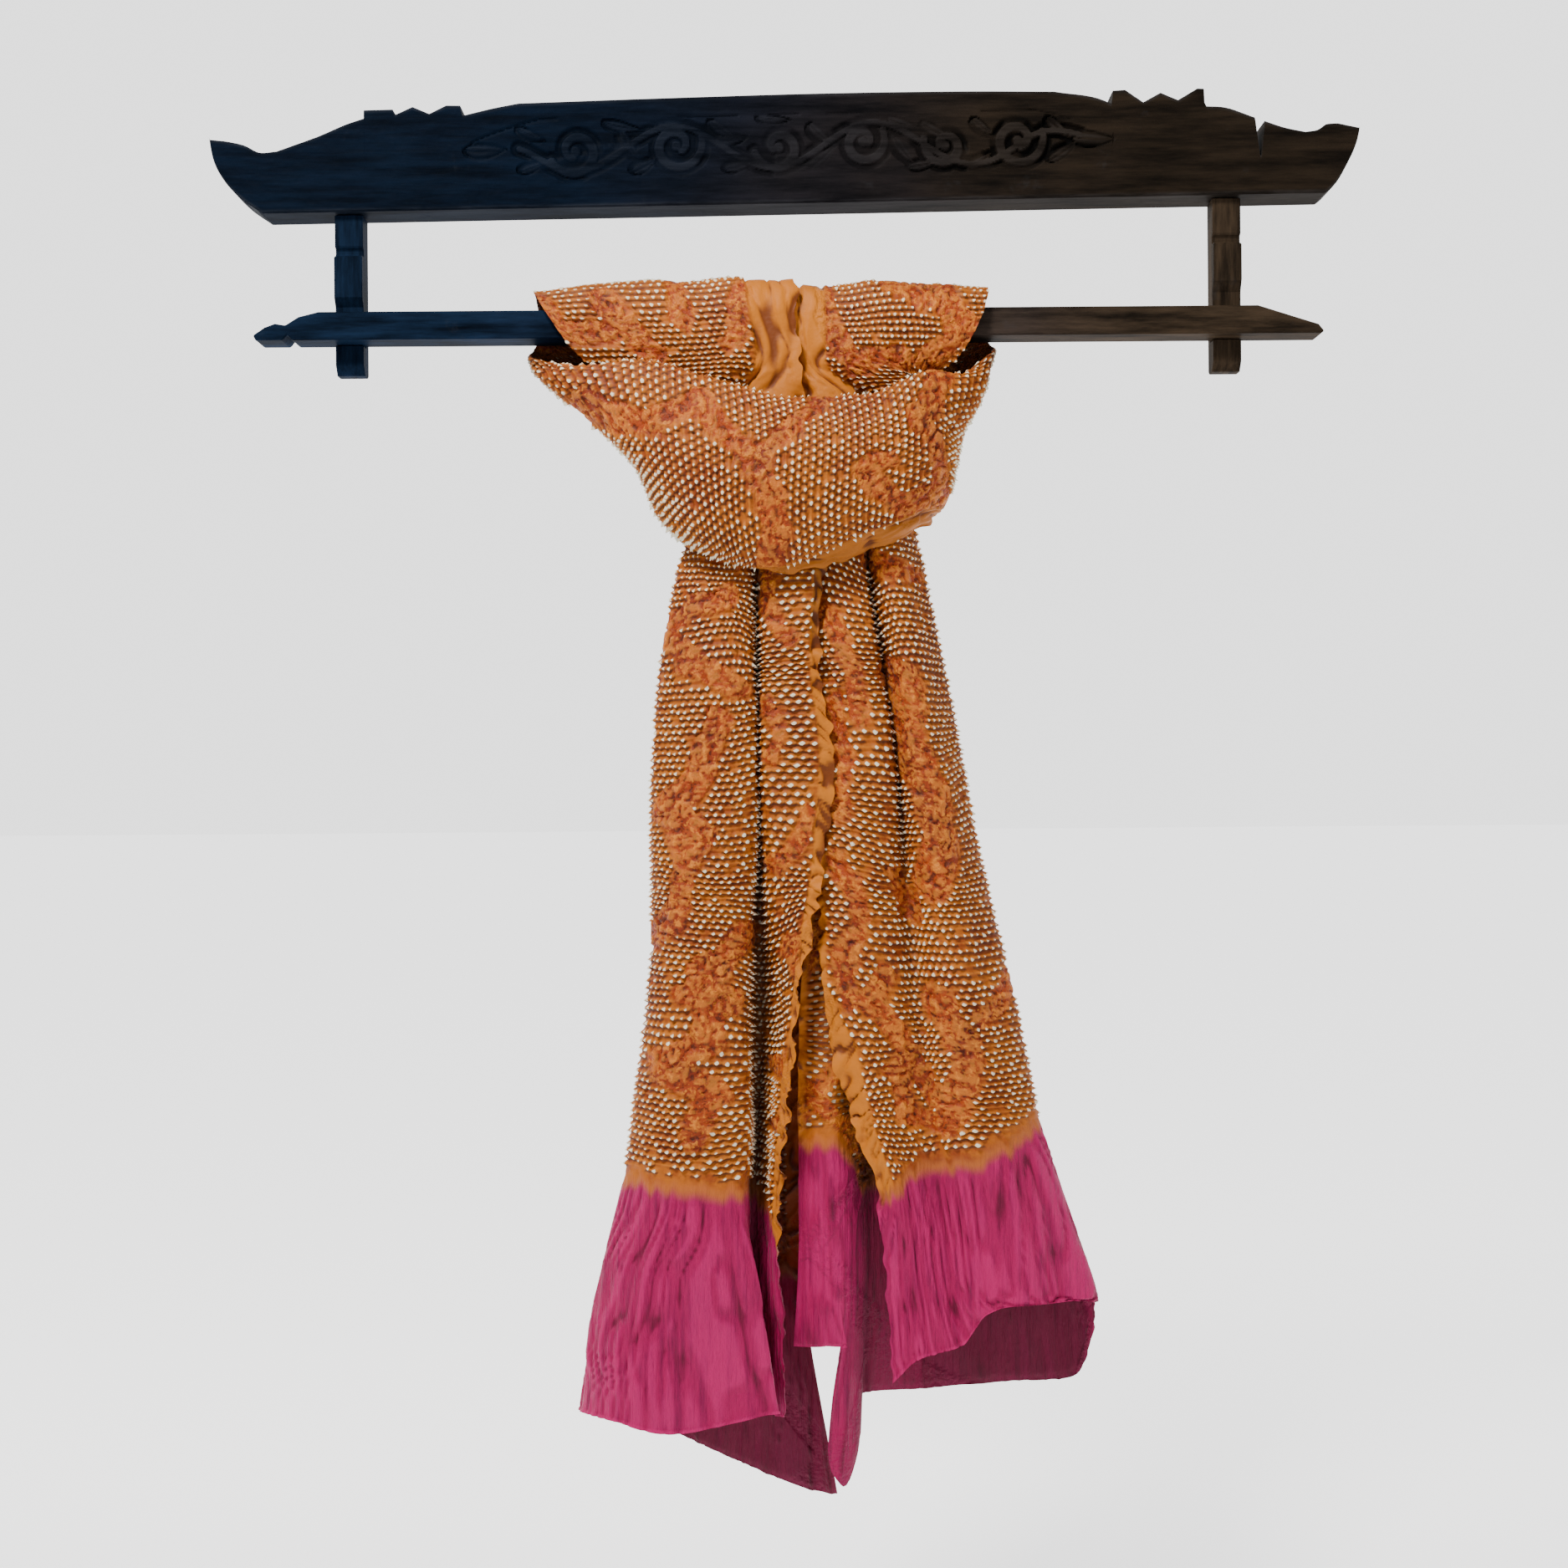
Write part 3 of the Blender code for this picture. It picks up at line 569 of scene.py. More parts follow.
def raise_relief(sheet, seed):
    """One height over the middle surface, made of a share of each kind of relief."""
    height, sheet.tip, rows, lean = cones(sheet, seed)
    pink = step(sheet.dye, -0.2, 0.9)
    plain = sheet.plain * (1 - pink)
    bare = np.clip(sheet.bare, 0, 1) * (1 - sheet.plain) * (1 - pink)
    tied = (1 - bare) * (1 - sheet.plain) * (1 - pink)
    rows = rows * step(-sheet.dye, 0.2, 0.5)
    sheet.under *= tied
    long = sheet.along[:, None] + 0 * sheet.u
    u = sheet.u + 0.4 * noise(sheet.u * 0.8, sheet.v * 0.8, seed)
    v = sheet.v + 0.4 * noise(sheet.v * 0.8, sheet.u * 0.8, seed)
    crumple = 0.55 * creases(u * 0.75, v * 0.95, seed + 1)
    crumple += 0.45 * creases(u * 1.2 + v * 0.5, v * 1.4 - u * 0.3, seed + 2)
    if sheet.free:
        slant = long / 7 + sheet.u * 0.8
        wave = noise(sheet.u * 0.2, long / 11, seed + 6)
        ruffle = 0.9 * wave * (0.4 + 0.6 * sheet.edge)
        ruffle += 0.8 * (creases(sheet.u * 0.4, slant, seed + 5) - 0.6)
    else:
        folds = 0.6 * creases(sheet.u * 0.42 + long / 70, long / 48, seed + 5)
        folds += 0.4 * creases(sheet.u * 0.9 - long / 50, long / 34, seed + 11)
        ruffle = 1.1 * (folds - 0.7) + 0.3 * noise(sheet.u * 0.5, long / 30, seed + 6)
    leaning = sheet.u + 1.5 * noise(sheet.u * 0.15, long / 60, seed + 12)
    pleats = 0.55 * creases(leaning * 1.0, long / 100, seed + 7)
    pleats += 0.45 * creases(leaning * 1.6, long / 55, seed + 8) - 0.7
    broad = 0.7 * noise(sheet.u * 0.28, long / 90, seed + 9)
    hem = (long > sheet.along[-1] - HEM_WIDTH) * sheet.free
    swell = noise(sheet.u / 6, sheet.v / 22, seed + 4)
    swell = swell + 0.5 * noise(sheet.u / 3, sheet.v / 9, seed + 3)
    rise = (CONE_HEIGHT * height + ROW_HEIGHT * rows) * tied
    rise = rise + CRINKLE * (crumple - 0.5) * (bare + 0.35 * tied)
    rise = rise + RUFFLE * ruffle * plain + PLEAT * pleats * pink + HEM_ROLL * hem
    # The relief height from 0 to 1, kept to paint light and shade by: painted highlight on crests, painted
    # shade in hollows.
    sheet.tone = np.clip(0.5 + rise / 6, 0, 1)
    sheet.rise = rise + SWELL * swell * (1 - plain) + PLEAT * broad * pink
    sheet.shape = sheet.points + sheet.normals * sheet.rise[..., None]
    sway = EDGE_SWAY * noise(long / 8, sheet.edge, seed + 10) * sheet.edge**2 * (sheet.across < 0.5)
    jitter = TIP_LEAN * np.clip(lean, -1.5, 1.5) * (height * tied)[..., None]
    sheet.shape += sheet.side * jitter[..., :1] + sheet.down * jitter[..., 1:]
    sheet.shape += sheet.side * sway[..., None]
    sheet.shape[..., 2] -= TIP_DROOP * CONE_HEIGHT * height * tied


for number, sheet in enumerate(tails + [hitch]):
    raise_relief(sheet, 100 + 20 * number)
    least, most = float(sheet.rise.min()), float(sheet.rise.max())
    print(sheet.name, "relief from", round(least, 1), "to", round(most, 1), "mm")

# %% [markdown]
# ## The three lengths of the scarf
# The scarf is one cloth, but it is meshed as two tails and the hitch between them, so that each stays light.
# They meet on the same line, hidden under the scoop. Marks for the dye go into the mesh as attributes,
# because they follow the weave and not the room. Marks for painted light and shade go in beside them: on the
# relief, below each tied point and where the cloth lies far behind its folds.

# %% Build the sheets
UV_MARGIN = 0.01


def put(name, data):
    """An object of this mesh, lamp or camera, in the scene."""
    thing = bpy.data.objects.new(name, data)
    bpy.context.scene.collection.objects.link(thing)
    return thing


def mark_points(mesh, **marks):
    """Keeps each mark in the mesh, as one number for each vertex."""
    for name, values in marks.items():
        made = mesh.attributes.new(name, "FLOAT", "POINT")
        made.data.foreach_set("value", values.ravel().astype(np.float32))


def build(sheet):
    rows, columns = sheet.shape.shape[:2]
    corners = np.arange(rows * columns).reshape(rows, columns)
    above, below = corners[:-1], corners[1:]
    faces = np.stack([above[:, :-1], above[:, 1:], below[:, 1:], below[:, :-1]], axis=-1)
    mesh = bpy.data.meshes.new(sheet.name)
    mesh.from_pydata((sheet.shape.reshape(-1, 3) * MM).tolist(), [], faces.reshape(-1, 4).tolist())
    mesh.shade_smooth()
    marks = ("tone", "tip", "bare", "plain", "dye", "deep", "under")
    mark_points(mesh, **{mark: getattr(sheet, mark) for mark in marks})
    layer = mesh.uv_layers.new(name="OFBake")
    spread = np.stack([sheet.u * CELL_ACROSS, sheet.v * CELL_ALONG], axis=-1)
    spread = UV_MARGIN + (1 - 2 * UV_MARGIN) * spread / spread.max()
    index = np.empty(len(mesh.loops), int)
    mesh.loops.foreach_get("vertex_index", index)
    layer.data.foreach_set("uv", spread.reshape(-1, 2)[index].ravel().astype(np.float32))
    return put(sheet.name, mesh)


cloth = [build(sheet) for sheet in tails + [hitch]]
for piece in cloth:
    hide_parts("scarf")
    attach(piece, "root")
    print(piece.name, len(piece.data.polygons) * 2, "triangles")

# %% [markdown]
# ## The carved board
# The real board is one plank with a shallow carved panel: running C-scrolls and leaves with a ground cut
# back a little, pointed at both ends. It is built as rings round the plank, one for each place along it,
# with a fine front whose depth comes from how near the scrolls are. The scrolls are a plain design of
# our own in that old manner. Carving with Booleans would give the same look with far worse faces.

# %% Board shape
BOARD_THICK = 30
BOARD_MIDDLE = 3.6
BOARD_TILT = math.radians(0.7)
BOARD_EASE = 1.2
CRACK_MIDDLE, CRACK_TIP, CRACK_MOUTH = 373, -4, 27
CRACK_NARROW, CRACK_WIDE = 0.6, 4.1
BOARD_TOP = (
    ("left scroll", "smooth", ((-449.3, 24), (-434, 22), (-422, 18.9), (-410, 13.1), (-397, 13.8))),
    ("left rise", "smooth", ((-397, 13.8), (-386, 17.5), (-364, 25), (-341, 34.3), (-328.1, 38.3))),
    ("left crest", "straight", ((-328, 44.7), (-305.5, 44.9), (-303.6, 40.7), (-290, 46.6))),
    ("left crest end", "straight", ((-277, 40.9), (-263.6, 47.2), (-252.6, 46.9), (-250.7, 39))),
    ("left shoulder", "smooth", ((-250.6, 39), (-226, 44.4), (-207, 47.7))),
    ("top", "smooth", ((-207, 47.7), (-84, 49.7), (30, 50.9), (140, 50.4), (212.5, 48.8))),
    ("right shoulder", "smooth", ((212.5, 48.8), (252, 40.8), (256.8, 38.4))),
    ("right crest", "straight",
     ((258.3, 48.6), (268, 49), (282, 39.1), (295.6, 46.3), (309.2, 40.3))),
    ("right crest end", "straight", ((324.4, 49), (329.4, 48.8), (329.7, 38.6), (331.4, 35))),
    ("right fall", "smooth",
     ((331.4, 35), (343.7, 34.2), (368.3, 25.8), (394.3, 16.6), (408.5, 13.5))),
    ("right scroll", "smooth", ((408.5, 13.5), (418, 14.9), (426, 19.4), (433.9, 19.7))),
    ("right tip", "straight", ((450.7, 15.9), (450.8, 15.8))),
)
BOARD_ENDS = (
    ("left end", "smooth", ((-449.3, 24), (-446, 6.3), (-436, -11.6), (-425, -23), (-409, -34.6))),
    ("right end", "smooth",
     ((423, -34.6), (425, -33.3), (441, -11.4), (449.7, 9.4), (450.8, 15.8))),
)


def through(points, steps=8):
    """Points along a smooth curve through the given ones."""
    points = np.asarray(points, float)
    knots = np.concatenate([[0], np.cumsum(np.linalg.norm(np.diff(points, axis=0), axis=1))])
    places = np.interp(np.arange((len(points) - 1) * steps + 1) / steps, range(len(points)), knots)
    return smooth(knots, points, places)


def profile(runs, places):
    """The height of an edge of the board at places along it."""
    lines = [through(points) if kind == "smooth" else points for _, kind, points in runs]
    line = np.vstack(lines)
    return np.interp(places, line[:, 0], line[:, 1]), line[:, 0]


BOARD_STEP = 1.0
_, corners_x = profile(BOARD_TOP, np.zeros(1))
even = np.arange(-449, 450.5, BOARD_STEP)
fine_crack = np.arange(CRACK_MIDDLE - 6, CRACK_MIDDLE + 6, 0.4)
board_x = np.unique(np.round(np.concatenate([even, corners_x, fine_crack]), 2))
board_x = board_x[np.concatenate([[True], np.diff(board_x) > 0.04])]
top, _ = profile(BOARD_TOP, board_x)
bottom, _ = profile(BOARD_ENDS, board_x)
slope = (CRACK_MOUTH - CRACK_TIP) / (CRACK_WIDE - CRACK_NARROW)
crack = CRACK_TIP + (np.abs(board_x - CRACK_MIDDLE) - CRACK_NARROW) * slope
in_crack = np.abs(board_x - CRACK_MIDDLE) < CRACK_WIDE
top = np.where(in_crack, np.minimum(top, np.maximum(crack, CRACK_TIP)), top)
top = np.maximum(top, bottom + 0.3)
print("board", len(board_x), "places along it")

# %% [markdown]
# ### The scrolls
# A scroll is a stem that winds in from a wide sweep to a small round eye, and leaves curl off its back.
# Each is a row with its middle, its size, the way it turns and where its stem starts, so the run stays
# uneven as hand carving is. The stems and the leaves stay flush with the plank, and only the ground close
# round them is cut back in pockets, so the panel stays as faint as shallow carving does.

# %% Carve the panel
PANEL_LEFT, PANEL_RIGHT = -253, 260
PANEL_LOW, PANEL_HIGH = -14.5, 35
PANEL_MIDDLE = 10.2
PANEL_POINT = 62
GROUND_DEPTH = 3.2
GROOVE_DEPTH = 1.2
Scroll = collections.namedtuple("Scroll", "x z radius turns start hand")
SCROLLS = (
    Scroll(-163, 9, 20, 1.15, 200, 1),
    Scroll(-84, 12, 21, 1.20, 20, -1),
    Scroll(-4, 9, 19, 1.05, 190, 1),
    Scroll(62, 12, 18, 1.15, 30, -1),
    Scroll(126, 8, 17, 1.05, 160, 1),
    Scroll(183, 11, 21, 1.25, 20, -1),
)
POCKET = 4.5
FAINT = 0.50
EYE = 4.6
SHARP = math.radians(38)
Leaf = collections.namedtuple("Leaf", "x z angle length width")
LEAVES = [Leaf(*row) for row in (
    (-249, 10.2, 0, 30, 9),
    (-208, 27, -24, 22, 5),
    (-206, -7, 22, 22, 5),
    (-140, 30, -12, 30, 6),
    (-128, 24, -58, 27, 7),
    (-118, -9, 30, 22, 7),
    (-58, 30, -35, 26, 7),
    (-55, 14, 5, 26, 7),
    (-46, -8, 15, 24, 6),
    (-20, 32, -5, 24, 5),
    (20, 26, -42, 22, 7),
    (22, -7, 42, 24, 7),
    (82, 29, -18, 26, 6),
    (86, 14, -52, 24, 7),
    (98, -9, 12, 24, 6),
    (108, 25, -28, 28, 7),
    (144, -10, 30, 22, 6),
    (148, 28, -38, 20, 6),
    (206, 28, -40, 25, 7),
    (208, -6, 35, 28, 7),
    (226, 12, -4, 32, 9),
)]


def wound(scroll):
    """Points along a scroll's stem, with the half width of the stem at each."""
    t = np.linspace(0, 1, 90)
    angle = math.radians(scroll.start) + scroll.hand * t * scroll.turns * 2 * math.pi
    radius = scroll.radius * (1 - 0.72 * t**0.9)
    line = np.stack([scroll.x + radius * np.cos(angle), scroll.z + radius * np.sin(angle)], axis=1)
    return np.column_stack([line, 3.2 + 1.4 * np.sin(math.pi * t) - 0.6 * t])


def vine():
    """The stem that runs through the whole panel from scroll to scroll."""
    t = np.linspace(0, 1, 500)
    x = PANEL_LEFT + 46 + t * (PANEL_RIGHT - PANEL_LEFT - 74)
    reach = np.clip(np.minimum(x - PANEL_LEFT, PANEL_RIGHT - x) / PANEL_POINT - 0.2, 0, 1)
    z = PANEL_MIDDLE - 17 * reach * np.sin((x - SCROLLS[0].x + 40) * math.pi / 78)
    return np.column_stack([x, z, np.full(len(t), 2.8)])


def bead(x, z, lines):
    """The height of rounded stems at each place, from 0 to 1."""
    height = np.zeros(x.shape)
    for px, pz, half in lines:
        near = (np.abs(x - px) < half) & (np.abs(z - pz) < half)
        away = np.hypot(x[near] - px, z[near] - pz) / half
        height[near] = np.maximum(height[near], np.sqrt(np.clip(1 - away**2, 0, 1)))
    return height


def blade(x, z, leaf):
    """The height of a leaf: raised at its margins, with a hollow along its middle."""
    turn = math.radians(leaf.angle)
    along = ((x - leaf.x) * math.cos(turn) + (z - leaf.z) * math.sin(turn)) / leaf.length
    side = (-(x - leaf.x) * math.sin(turn) + (z - leaf.z) * math.cos(turn)) / leaf.width
    bend = side - 0.5 * (along - 0.5) ** 2
    inside = np.clip(along, 0, 1)
    margin = 1.55 * np.sqrt(inside) * (1 - inside) + 0.02
    rise = 1 - (np.abs(bend) / margin) ** 4
    vein = 0.45 * np.exp(-((bend / 0.12) ** 2))
    return np.where((along > 0) & (along < 1), np.clip(rise, 0, 1) * (1 - vein), 0)


FRONT_ROWS = 74
fraction = np.linspace(0, 1, FRONT_ROWS)
low, high = bottom + BOARD_EASE, top - BOARD_EASE
high = np.maximum(high, low + 0.1)
face_x = np.tile(board_x[:, None], (1, FRONT_ROWS))
face_z = low[:, None] + fraction[None, :] * (high - low)[:, None]
inset = np.minimum(face_x - PANEL_LEFT, PANEL_RIGHT - face_x)
reach = np.clip(inset / PANEL_POINT, 0, 1) ** 0.62
roof = PANEL_MIDDLE + (PANEL_HIGH - PANEL_MIDDLE) * reach
floor_line = PANEL_MIDDLE + (PANEL_LOW - PANEL_MIDDLE) * reach
inner = np.minimum(np.minimum(roof - face_z, face_z - floor_line), inset)
eyes = [(scroll.x, scroll.z, EYE) for scroll in SCROLLS]
stems = np.vstack([wound(scroll) for scroll in SCROLLS] + [vine(), eyes])
relief = step(bead(face_x, face_z, stems), 0.1, 0.75)
around = bead(face_x, face_z, stems + (0, 0, POCKET))
for leaf in LEAVES:
    relief = np.maximum(relief, blade(face_x, face_z, leaf))
    wider = leaf._replace(x=leaf.x - 3, length=leaf.length + 6, width=leaf.width + POCKET)
    around = np.maximum(around, blade(face_x, face_z, wider))
uneven = 0.40 + 0.60 * step(noise(face_x / 15, face_z / 11, 8), -0.15, 0.35)
uneven *= FAINT + (1 - FAINT) * step(face_x, 60, 180)
pocket = step(around, 0.25, 0.7) * step(inner, 0, 1.6) * uneven
cut = GROUND_DEPTH * pocket * (1 - relief * step(inner, 0.2, 2.0))
pieces = step(noise(face_x / 24, 0 * face_z, 9), -0.1, 0.1) * (face_z > PANEL_MIDDLE)
depth = cut + GROOVE_DEPTH * np.exp(-(((inner - 0.6) / 0.8) ** 2)) * pieces * (inset > 8)
tools = 0.12 * noise(face_x / 9, face_z / 5, 5) + 0.06 * noise(face_x / 2.5, face_z / 2.5, 6)
print("carved", round(float((cut > 0.3).mean()), 2), "of the front")


def rubbed():
    """How worn the front is: raised stems and the plank's long edges, not the sunk ground."""
    edge = 1 - step(np.minimum(face_z - low[:, None], high[:, None] - face_z), 0, 2.2)
    proud = (inner > 0) * step(relief, 0.6, 1.0) * step(around, 0.3, 0.8)
    return np.maximum(0.8 * edge, 0.4 * proud)


def build_board():
    front = -BOARD_THICK + depth + tools
    columns = [(board_x, np.zeros(len(board_x)), bottom)]
    columns.append((board_x, np.full(len(board_x), -BOARD_THICK + BOARD_EASE), bottom))
    columns += [(face_x[:, k], front[:, k], face_z[:, k]) for k in range(FRONT_ROWS)]
    columns.append((board_x, np.full(len(board_x), -BOARD_THICK + BOARD_EASE), top))
    columns.append((board_x, np.zeros(len(board_x)), top))
    ring = np.array(columns).transpose(2, 0, 1)
    cos, sin = math.cos(BOARD_TILT), math.sin(BOARD_TILT)
    x = ring[..., 0] * cos - ring[..., 2] * sin + BOARD_MIDDLE
    z = ring[..., 0] * sin + ring[..., 2] * cos
    points = np.stack([x, ring[..., 1], z], axis=-1) * MM
    count, around = points.shape[:2]
    corners = np.arange(count * around).reshape(count, around)
    turned = np.roll(corners, -1, axis=1)
    faces = np.stack([corners[:-1], corners[1:], turned[1:], turned[:-1]], axis=-1)
    faces = faces.reshape(-1, 4).tolist() + [corners[0].tolist(), corners[-1][::-1].tolist()]
    mesh = bpy.data.meshes.new("carved_board")
    mesh.from_pydata(points.reshape(-1, 3).tolist(), [], faces)
    mesh.validate()
    wear = np.zeros((count, around))
    wear[:, 2 : 2 + FRONT_ROWS] = rubbed()
    wear[:, 1] = wear[:, 2 + FRONT_ROWS] = 0.6
    # Painted shade: how deep the ground is cut, to paint the pockets near black.
    sunk = np.zeros((count, around))
    sunk[:, 2 : 2 + FRONT_ROWS] = np.clip(cut / GROUND_DEPTH, 0, 1)
    mark_points(mesh, wear=wear, sunk=sunk)
    mesh.shade_smooth()
    mesh.set_sharp_from_angle(angle=SHARP)
    return put("carved_board", mesh)


board = build_board()
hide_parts("top_board")
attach(board, "root")
print("board", len(board.data.polygons) * 2, "triangles")

# %% [markdown]
# ## Materials
# Colours are mixed from the marks in the meshes and from noise, and some of them are painted light and shade.
# A small class wraps a socket, so that shader maths reads like the sum it is. Painted images would need a
# picture of the cloth, and the object keeps none. The silk has a little sheen, and the wood is stained dark;
# its shift from blue at the left to brown at the right is partly the stain and partly painted light.

# %% A class for shader maths


def paint(red, green, blue):
    """A display colour from 0 to 255 as linear light."""
    parts = [value / 255 for value in (red, green, blue)]
    parts = [part / 12.92 if part <= 0.04045 else ((part + 0.055) / 1.055) ** 2.4 for part in parts]
    return (*parts, 1.0)


class Wire:
    """One output in a material's tree. Arithmetic on it adds Math nodes."""

    def __init__(self, tree, out=None):
        self.tree = tree
        self.out = out

    def feed(self, slot, value):
        if isinstance(value, Wire):
            self.tree.links.new(value.out, slot)
        else:
            slot.default_value = value

    def node(self, kind, output=0, settings=(), **inputs):
        """Any other node, with its settings and its inputs by name."""
        made = self.tree.nodes.new(kind)
        for name, value in settings:
            setattr(made, name, value)
        for name, value in inputs.items():
            self.feed(made.inputs[name.replace("_", " ")], value)
        return Wire(self.tree, made.outputs[output])

    def math(self, operation, *others):
        made = self.tree.nodes.new("ShaderNodeMath")
        made.operation = operation
        for slot, value in zip(made.inputs, (self, *others)):
            self.feed(slot, value)
        return Wire(self.tree, made.outputs[0])

    def __add__(self, other):
        return self.math("ADD", other)

    def __radd__(self, other):
        return self.math("ADD", other)

    def __sub__(self, other):
        return self.math("SUBTRACT", other)

    def __rsub__(self, other):
        return (self * -1.0).math("ADD", other)

    def __mul__(self, other):
        return self.math("MULTIPLY", other)

    def __rmul__(self, other):
        return self.math("MULTIPLY", other)

    def between(self, low, high):
        """0 at low and 1 at high, or the other way round, and smooth between."""
        made = self.tree.nodes.new("ShaderNodeMapRange")
        made.interpolation_type = "SMOOTHSTEP"
        self.feed(made.inputs["Value"], self)
        ends = {"From Min": min(low, high), "From Max": max(low, high)}
        if low > high:
            ends.update({"To Min": 1.0, "To Max": 0.0})
        for name, value in ends.items():
            made.inputs[name].default_value = value
        return Wire(self.tree, made.outputs["Result"])

    def blend(self, first, second):
        """The first colour where this is 0 and the second where it is 1."""
        made = self.tree.nodes.new("ShaderNodeMix")
        made.data_type = "RGBA"
        for place, value in ((0, self), (6, first), (7, second)):
            self.feed(made.inputs[place], value)
        return Wire(self.tree, made.outputs[2])


class Paint:
    """A material's tree with its shader, its object coordinates and its marks."""

    def __init__(self, name):
        self.material = bpy.data.materials.new(name)
        self.material.use_nodes = True
        self.tree = self.material.node_tree
        self.shader = self.tree.nodes["Principled BSDF"]
        self.start = Wire(self.tree)
        self.place = self.start.node("ShaderNodeTexCoord", output="Object")

    def mark(self, name):
        settings = (("attribute_name", name), ("attribute_type", "GEOMETRY"))
        return self.start.node("ShaderNodeAttribute", output="Fac", settings=settings)

    def grain(self, scale, stretch=(1, 1, 1), detail=2.0, rough=0.5):
        """Noise around 0.5, finer along the axes that are stretched."""
        spread = self.start.node("ShaderNodeVectorMath", settings=(("operation", "MULTIPLY"),))
        made = spread.out.node
        self.tree.links.new(self.place.out, made.inputs[0])
        made.inputs[1].default_value = stretch
        sizes = {"Scale": scale, "Detail": detail, "Roughness": rough}
        return self.start.node("ShaderNodeTexNoise", output="Fac", Vector=spread, **sizes)

    def along(self, axis):
        return self.start.node("ShaderNodeSeparateXYZ", output=axis, Vector=self.place)

    def set(self, name, value):
        self.start.feed(self.shader.inputs[name], value)

    def bump(self, height, distance, strength=1.0):
        sizes = {"Distance": distance, "Strength": strength}
        self.set("Normal", self.start.node("ShaderNodeBump", Height=height, **sizes))


print("shader class ready")

# %% [markdown]
# ### Dyed silk
# The ground is ochre in the tied fields and rust in the bare bands, with painted shade deep in the crinkles
# and hollows of the relief and a painted golden highlight on the crests. Each tip kept its cream, as its tie
# kept the dye out. The borders are plain gold with painted shade in their ruffles, and the ends were dipped
# in pink, which runs up into the ochre through a salmon line. The pink has painted highlights on its pleats
# and painted shade between them, and painted shadow darkens the cloth below each tied point and far behind
# the folds.

# %% Silk
OCHRE, AMBER = paint(168, 88, 8), paint(136, 56, 3)
RUST, DUSK = paint(154, 58, 5), paint(116, 35, 6)
# Crest is a painted highlight and hollow a painted shade.
CREST_HIGHLIGHT, HOLLOW_SHADE = paint(220, 132, 38), paint(30, 7, 1)
GOLD, GOLD_SHADE = paint(192, 110, 18), paint(98, 40, 4)
CREAM = paint(255, 246, 216)
TAN, FUCHSIA = paint(174, 92, 38), paint(160, 0, 78)
# Rose is a painted highlight and wine a painted shade; magenta is a dye streak.
ROSE_HIGHLIGHT, MAGENTA, WINE_SHADE = paint(206, 26, 112), paint(104, 0, 58), paint(72, 0, 26)


def dyed_silk():
    silk = Paint("dyed_silk")
    tone, tip, bare = silk.mark("tone"), silk.mark("tip"), silk.mark("bare")
    plain, dye, deep = silk.mark("plain"), silk.mark("dye"), silk.mark("deep")
    cloudy = silk.grain(26.0)
    blotchy = silk.grain(110.0, detail=3.0)
    mixed = cloudy * 0.55 + blotchy * 0.45
    field = mixed.between(0.40, 0.62).blend(OCHRE, AMBER)
    band = mixed.between(0.42, 0.64).blend(RUST, DUSK)
    ground = bare.blend(field, band)
    crinkle = silk.grain(190.0, detail=2.0, rough=0.6)
    loose = bare * 0.85 + 0.15
    # Painted shade in the hollows of the crinkles and of the relief and below each tied point, and painted
    # highlight on the crests.
    for mask, share, colour in (
        (crinkle.between(0.46, 0.36) * loose, 0.65, HOLLOW_SHADE),
        (crinkle.between(0.54, 0.66) * loose, 0.65, CREST_HIGHLIGHT),
        (tone.between(0.55, 0.85), 0.5, CREST_HIGHLIGHT),
        (tone.between(0.42, 0.20), 0.8, HOLLOW_SHADE),
        (silk.mark("under"), 0.8, HOLLOW_SHADE),
    ):
        ground = (mask * share).blend(ground, colour)
    # Painted shade in the hollows of the ruffled gold border.
    border = (tone.between(0.46, 0.10) * 0.9).blend(GOLD, GOLD_SHADE)
    ground = plain.blend(ground, border)
    ground = tip.between(0.40, 0.60).blend(ground, CREAM)
    streaks = silk.grain(3.0, stretch=(90, 45, 6), detail=4.0, rough=0.65)
    pink = (streaks.between(0.40, 0.75) * 0.7).blend(FUCHSIA, MAGENTA)
    # Painted highlight on the pink pleat ridges and painted shade in their valleys.
    pink = (tone.between(0.50, 0.80) * 0.6).blend(pink, ROSE_HIGHLIGHT)
    pink = (tone.between(0.42, 0.15) * 0.7).blend(pink, WINE_SHADE)
    ground = dye.between(-0.15, 0.15).blend(ground, TAN)
    ground = dye.between(0.10, 0.50).blend(ground, pink)
    # Painted shade where the cloth lies far behind its folds and beneath the scoop: near black in the ochre,
    # wine in the pink.
    shadow = dye.between(0.0, 0.5).blend(HOLLOW_SHADE, WINE_SHADE)
    ground = (deep * 0.75).blend(ground, shadow)
    silk.set("Base Color", ground)
    silk.set("Roughness", 0.6)
    silk.set("Sheen Weight", 0.06)
    silk.set("Sheen Roughness", 0.4)
    silk.set("Specular IOR Level", 0.25)
    gathers = streaks * dye.between(-0.2, 0.3) * 1.3
    silk.bump(silk.grain(420.0, detail=3.0) * 0.10 + crinkle * loose + gathers, 0.0030, 0.9)
    return silk.material


silk = dyed_silk()
for piece in cloth:
    piece.data.materials.append(silk)
print("silk on", len(cloth), "pieces")

# %% [markdown]
# ### Stained wood
# The stain is near black, with long grain, worn arrises and dull scuffs. The left of the hanger catches a
# cool light and the right a warm one in the photograph. The shift from blue at the left to brown at the right
# is
# painted: part of it is the stain itself and part is painted light.

# %% Wood
NIGHT, NAVY = paint(4, 8, 16), paint(20, 36, 58)
UMBER, BROWN = paint(14, 12, 10), paint(64, 52, 40)
# Sink is painted shade for the cut-back ground; scuff is real wear.
SCUFF, POCKET_SHADE = paint(58, 60, 64), paint(2, 3, 4)


